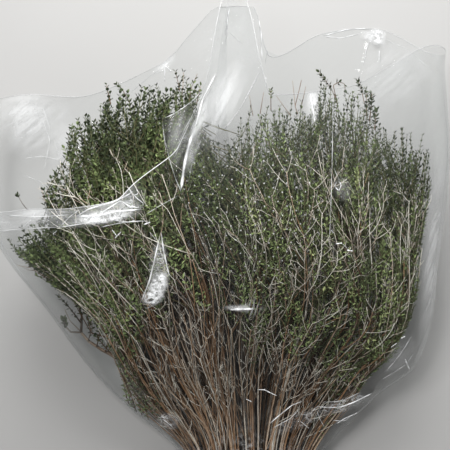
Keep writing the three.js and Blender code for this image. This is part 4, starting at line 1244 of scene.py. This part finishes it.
def fibre_group():
    """Fibres along a rod: noise drawn out along its length. Blotches: slow noise that isn't."""
    tree, given, out = group(
        "fibre", [("Grain", "Vector", None), ("Across", "Float", 1.6), ("Along", "Float", 0.12)],
        [("Fibre", "Float"), ("Blotch", "Float")],
    )
    parts = node(tree, "SeparateXYZ", {0: given["Grain"]}).outputs
    x, y = (times(tree, parts[i], given["Across"]) for i in (0, 1))
    z = times(tree, parts[2], given["Along"])
    spot = node(tree, "CombineXYZ", {0: x, 1: y, 2: z}).outputs[0]
    tree.links.new(noise(tree, spot, 1.0, 3.0)[0], out["Fibre"])
    tree.links.new(noise(tree, given["Grain"], 0.05, 2.0)[0], out["Blotch"])
    return tree


def bark(name, fibre, dark, brown, worn, grey, cut, roughness):
    """Bark, from look: dark, brown or worn by its kind, towards grey where it is weathered, and cut wood
    at an end. Its fibres darken it in streaks."""
    made, tree, surface = material(name)
    channel = channels(tree, point_value(tree, "look")["Color"])
    marks = use_group(fibre, tree, {"Grain": point_value(tree, "grain")["Vector"]})
    kind = ramp(tree, channel[1], [(0.0, dark), (0.65, brown), (1.0, worn)])
    varied = math_node(tree, "ADD", times(tree, marks["Blotch"], 0.6), channel[0])
    weathered = math_node(tree, "SUBTRACT", varied, 0.28, clamp=True)
    colour = mix_colour(tree, weathered, kind, grey)
    shade = ramp(tree, marks["Fibre"], [(0.3, (0.55, 0.5, 0.46)), (0.62, (1.0, 1.0, 1.0))])
    colour = mix_colour(tree, 1.0, colour, shade, "MULTIPLY")
    colour = mix_colour(tree, channel[2], colour, cut)
    principled(tree, surface, {
        "Base Color": colour, "Roughness": roughness, "Specular IOR Level": 0.3,
        "Normal": bumps(tree, marks["Fibre"], 0.5, 0.0006),
    })
    return made


def leaf_material():
    """Thyme leaves, from look: five greens by the leaf's tint, darker near the shoot's tip, lighter
    towards the leaf's own tip and at its raised middle, with fine specks."""
    made, tree, surface = material("thyme leaf")
    look = point_value(tree, "look")
    channel = channels(tree, look["Color"])
    green = ramp(tree, channel[0], [
        (0.0, (0.032, 0.044, 0.028)), (0.35, (0.116, 0.151, 0.074)), (0.7, (0.280, 0.365, 0.152)),
        (0.94, (0.400, 0.490, 0.212)), (1.0, (0.450, 0.500, 0.240)),
    ])
    near_tip = math_node(tree, "SUBTRACT", look["Alpha"], 0.5, clamp=True)
    darker = times(tree, near_tip, 0.6)
    green = mix_colour(tree, darker, green, (0.055, 0.070, 0.042))
    tipped = times(tree, channel[1], 0.1)
    green = mix_colour(tree, tipped, green, (0.26, 0.30, 0.13))
    ridge = times(tree, channel[2], 0.4, clamp=True)
    green = mix_colour(tree, ridge, green, (0.28, 0.32, 0.16))
    speck = noise(tree, point_value(tree, "grain")["Vector"], 1.6, 2.0)[0]
    shade = ramp(tree, speck, [(0.3, (0.75, 0.75, 0.75)), (0.7, (1.1, 1.1, 1.05))])
    principled(tree, surface, {
        "Base Color": mix_colour(tree, 1.0, green, shade, "MULTIPLY"), "Roughness": 0.52,
        "Specular IOR Level": 0.45, "Normal": bumps(tree, speck, 0.35, 0.0004),
    })
    return made


def crumple_group():
    """Crumpled film. Lines: painted glints, thin bright lines along the edges of two warped cell
    patterns, broken up by noise. Shards: cells that are each dull or bright, which break up the painted
    sheen. Height: shallow facets with raised lines."""
    tree, given, out = group(
        "crumple", [("Place", "Vector", None)],
        [("Lines", "Float"), ("Height", "Float"), ("Shards", "Float")],
    )
    warp = noise(tree, given["Place"], 0.09, 2.0)["Color"]
    spot = vector_math(tree, "ADD", given["Place"], vector_math(tree, "MULTIPLY", warp, (9.0, 9.0, 9.0)))
    lines = []
    for scale, width in ((0.085, 0.05), (0.21, 0.09)):
        cells = node(tree, "TexVoronoi", {"Vector": spot, "Scale": scale}, feature="DISTANCE_TO_EDGE")
        lines.append(remap(tree, cells.outputs["Distance"], 0.0, width, 1.0, 0.0))
    both = math_node(tree, "MAXIMUM", *lines)
    patchy = remap(tree, noise(tree, given["Place"], 0.13, 3.0)[0], 0.42, 0.62, 0.0, 1.0)
    tree.links.new(times(tree, both, patchy), out["Lines"])
    shards = node(tree, "TexVoronoi", {"Vector": spot, "Scale": 0.34}, feature="F1").outputs["Color"]
    tree.links.new(remap(tree, channels(tree, shards)[0], 0.2, 0.45, 0.1, 1.3), out["Shards"])
    facets = node(tree, "TexVoronoi", {"Vector": spot, "Scale": 0.12}, feature="F1").outputs["Distance"]
    raised = times(tree, both, 0.4)
    tree.links.new(math_node(tree, "ADD", facets, raised), out["Height"])
    return tree


def pinhole_group():
    """Small holes through the film, on a square net that is turned a little from the stems."""
    tree, given, out = group(
        "pinholes", [("Place", "Vector", None), ("Pitch", "Float", 11.0)], [("Dots", "Float")]
    )
    turned = node(tree, "VectorRotate", {"Vector": given["Place"], "Angle": 0.45}, rotation_type="Z_AXIS")
    parts = node(tree, "SeparateXYZ", {0: turned.outputs[0]}).outputs
    away = []
    for i in (0, 1):
        cell = math_node(tree, "FRACT", math_node(tree, "DIVIDE", parts[i], given["Pitch"]))
        away.append(math_node(tree, "SUBTRACT", cell, 0.5))
    squares = [times(tree, a, a) for a in away]
    distance = math_node(tree, "SQRT", math_node(tree, "ADD", *squares))
    tree.links.new(remap(tree, distance, 0.045, 0.095, 1.0, 0.0), out["Dots"])
    return tree


def film_material():
    """Clear film: see-through, dimmer at a slant, with a sharp reflection that grows at a slant on the
    side that faces out, and a faintly glowing painted white: painted sheen, painted glints where it
    is crumpled, its pinholes, and painted highlights where it is folded."""
    made, tree, surface = material("clear film")
    look = point_value(tree, "look")
    layer = look["Alpha"]
    sheen, crushed, edge = channels(tree, look["Color"])
    place = point_value(tree, "grain")["Vector"]
    crumple = use_group(crumple_group(), tree, {"Place": place})
    dots = use_group(pinhole_group(), tree, {"Place": place})["Dots"]
    pierced = times(tree, dots, remap(tree, layer, 0.5, 1.0, 0.0, 0.42))
    # streaks in the painted sheen, which lean by another angle on each layer
    lean = remap(tree, layer, 0.0, 0.5, 0.06, 1.15)
    along = node(tree, "VectorRotate", {"Vector": place, "Axis": (0, 0, -1), "Angle": lean}).outputs[0]
    drawn = vector_math(tree, "MULTIPLY", along, (0.022, 0.16, 0.05))
    soft = remap(tree, noise(tree, drawn, 1.0, 3.0)[0], 0.34, 0.62, 0.5, 1.35)
    sheen = times(tree, sheen, remap(tree, crushed, 0.0, 1.0, soft, crumple["Shards"]))
    # painted glints along the crumple's lines
    lines = times(tree, crumple["Lines"], math_node(tree, "POWER", crushed, 1.3))
    white = math_node(tree, "MAXIMUM", math_node(tree, "ADD", lines, sheen), edge)
    white = math_node(tree, "MAXIMUM", white, pierced, clamp=True)
    bump = bumps(tree, times(tree, crumple["Height"], crushed), 0.6, 0.004)
    slanted = node(tree, "LayerWeight", {"Blend": 0.5}).outputs["Facing"]
    dimming = math_node(tree, "POWER", slanted, 2.0)
    dimmed = mix_colour(tree, dimming, (0.99, 0.993, 0.993), (0.875, 0.885, 0.885))
    clear = node(tree, "BsdfTransparent", {"Color": dimmed})
    gloss = node(tree, "BsdfGlossy", {"Color": (1, 1, 1, 1), "Roughness": 0.05, "Normal": bump})
    slant = node(tree, "Fresnel", {"IOR": 1.45, "Normal": bump})
    facing = math_node(tree, "SUBTRACT", 1.0, node(tree, "NewGeometry").outputs["Backfacing"])
    shine = times(tree, slant.outputs[0], facing)
    white = times(tree, white, facing)
    sheet = node(tree, "MixShader", {0: shine, 1: clear.outputs[0], 2: gloss.outputs[0]})
    # the painted white, which glows faintly though it is no lamp: painted light
    painted_white = node(tree, "BsdfPrincipled", {
        "Base Color": (0.93, 0.94, 0.95, 1), "Roughness": 0.25, "Normal": bump,
        "Emission Color": (1, 1, 1, 1), "Emission Strength": 0.12,
    })
    whole = node(tree, "MixShader", {0: white, 1: sheet.outputs[0], 2: painted_white.outputs[0]})
    tree.links.new(whole.outputs[0], surface)
    return made


def rubber_material():
    """Tan rubber in three tans by one noise, which makes its pale spots duller as well."""
    made, tree, surface = material("tan rubber")
    mottle = noise(tree, point_value(tree, "grain")["Vector"], 0.6, 4.0)[0]
    tans = [(0.3, (0.35, 0.23, 0.12)), (0.6, (0.50, 0.36, 0.20)), (0.8, (0.62, 0.50, 0.34))]
    principled(tree, surface, {
        "Base Color": ramp(tree, mottle, tans), "Roughness": remap(tree, mottle, 0.3, 0.8, 0.45, 0.7),
        "Normal": bumps(tree, mottle, 0.3, 0.0004),
    })
    return made


# ---- assembly ----
def frame_origin():
    """The tie's place in the frame, in millimetres, from where the band's box lies."""
    low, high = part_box("neck_band")
    _, outline, out = neck_outline(40)
    reach = (outline + out * (BAND["clearance"] + BAND["thickness"]))[:, 0]
    across = 1000 * (low.x + high.x) / 2 - (reach.min() + reach.max()) / 2
    return np.array([across, 1000 * (low.y + high.y) / 2 - BAND_PLANE, 0.0])


ORIGIN = frame_origin()
fibre = fibre_group()
WOOD = bark(
    "thyme bark", fibre, dark=(0.050, 0.032, 0.022), brown=(0.41, 0.24, 0.13), worn=(0.56, 0.43, 0.30),
    grey=(0.93, 0.91, 0.82), cut=(0.55, 0.46, 0.30), roughness=0.8,
)
SHOOT = bark(
    "green shoot", fibre, dark=(0.06, 0.06, 0.032), brown=(0.15, 0.14, 0.075), worn=(0.24, 0.2, 0.12),
    grey=(0.14, 0.17, 0.08), cut=(0.3, 0.3, 0.15), roughness=0.7,
)
LEAF_GREEN = leaf_material()
CELLS = [cell for index, lobe in enumerate(LOBES) for cell in cells_of(lobe, index)]

for number, cell in enumerate(CELLS, 1):
    rng = np.random.default_rng(1000 + cell["seed"])
    stems = cell_stems(rng)
    lone_wood, lone_green = sprig_parts(number, np.random.default_rng(2000 + number))
    wood = joined([stem_part(cell, stems, rng), *bare_twig_parts(cell, stems, rng), *lone_wood])
    piece(f"thyme_stems_{number:02d}", wood, [WOOD], [f"woody_stem_{number:02d}"], LOWEST)
    green = joined([*leafy_shoot_parts(cell, stems, rng), *lone_green])
    piece(
        f"thyme_leaves_{number:02d}", green, [LEAF_GREEN, SHOOT],
        [f"leafy_spray_{number:02d}"], LOWEST,
    )

sheet = joined([film_sheet(), *fold_edges()])
film = piece("film_sheet", sheet, [film_material()], ["film_wrap"])
strands = joined([band_strand(*strand) for strand in STRANDS])
piece("rubber_band_turns", strands, [rubber_material()], ["neck_band"])


# ---- floor, light and camera ----
def floor():
    """A plain pale surface, level with the underside."""
    mesh = bpy.data.meshes.new("floor")
    half = 6.0
    corners = [(-half, -half, 0), (half, -half, 0), (half, half, 0), (-half, half, 0)]
    mesh.from_pydata(corners, [], [(0, 1, 2, 3)])
    made, tree, surface = material("pale floor")
    faint = noise(tree, node(tree, "TexCoord").outputs["Object"], 3.0, 2.0)[0]
    colour = ramp(tree, faint, [(0.3, (0.447, 0.443, 0.435)), (0.7, (0.461, 0.457, 0.449))])
    principled(tree, surface, {"Base Color": colour, "Roughness": 0.9, "Specular IOR Level": 0.1})
    mesh.materials.append(made)
    thing = bpy.data.objects.new("floor", mesh)
    bpy.context.scene.collection.objects.link(thing)


def lamp(name, place, target, size, power):
    """A square area light at a place, turned to a target. Only the spark shows in reflections."""
    data = bpy.data.lights.new(name, "AREA")
    data.shape, data.size, data.energy = "SQUARE", size, power
    thing = bpy.data.objects.new(name, data)
    thing.location = place
    way = np.array(target) - np.array(place)
    away = math.atan2(math.hypot(way[0], way[1]), -way[2])
    thing.rotation_euler = (away, 0, math.atan2(-way[0], way[1]))
    thing.visible_glossy = name == "spark"
    bpy.context.scene.collection.objects.link(thing)


def camera():
    """Looks straight down on the middle of the head, with the stems' tips at the top of the picture."""
    data = bpy.data.cameras.new("camera")
    data.sensor_width = CAMERA["sensor"]
    data.lens = CAMERA["sensor"] * CAMERA["height"] / CAMERA["view"]
    data.clip_end = 20
    thing = bpy.data.objects.new("camera", data)
    x, y = CAMERA["aim"]
    z = CAMERA["middle"] + CAMERA["height"]
    thing.location = ((x + ORIGIN[0]) / 1000, (y + ORIGIN[1]) / 1000, z / 1000)
    bpy.context.scene.collection.objects.link(thing)
    bpy.context.scene.camera = thing


CAMERA = {"aim": (-30, 296.6), "middle": 110, "height": 1400, "view": 540, "sensor": 36}
floor()
camera()
BODY = (0, 0.1, 0.1)
lamp("window", (0.1, 1.0, 0.9), (0, 0.2, 0.05), 0.8, 19.5)
lamp("key", (-0.4, 0.38, 1.8), BODY, 0.45, 20.4)
lamp("fill", (1.1, -0.4, 1.6), BODY, 0.9, 4)
lamp("spark", (-0.45, 0.75, 1.9), BODY, 0.14, 1)
world = bpy.data.worlds.new("studio")
world.use_nodes = True
world.node_tree.nodes["Background"].inputs["Color"].default_value = (0.92, 0.93, 0.95, 1)
world.node_tree.nodes["Background"].inputs["Strength"].default_value = 0.05
bpy.context.scene.world = world
bpy.context.scene.view_settings.view_transform = "Standard"
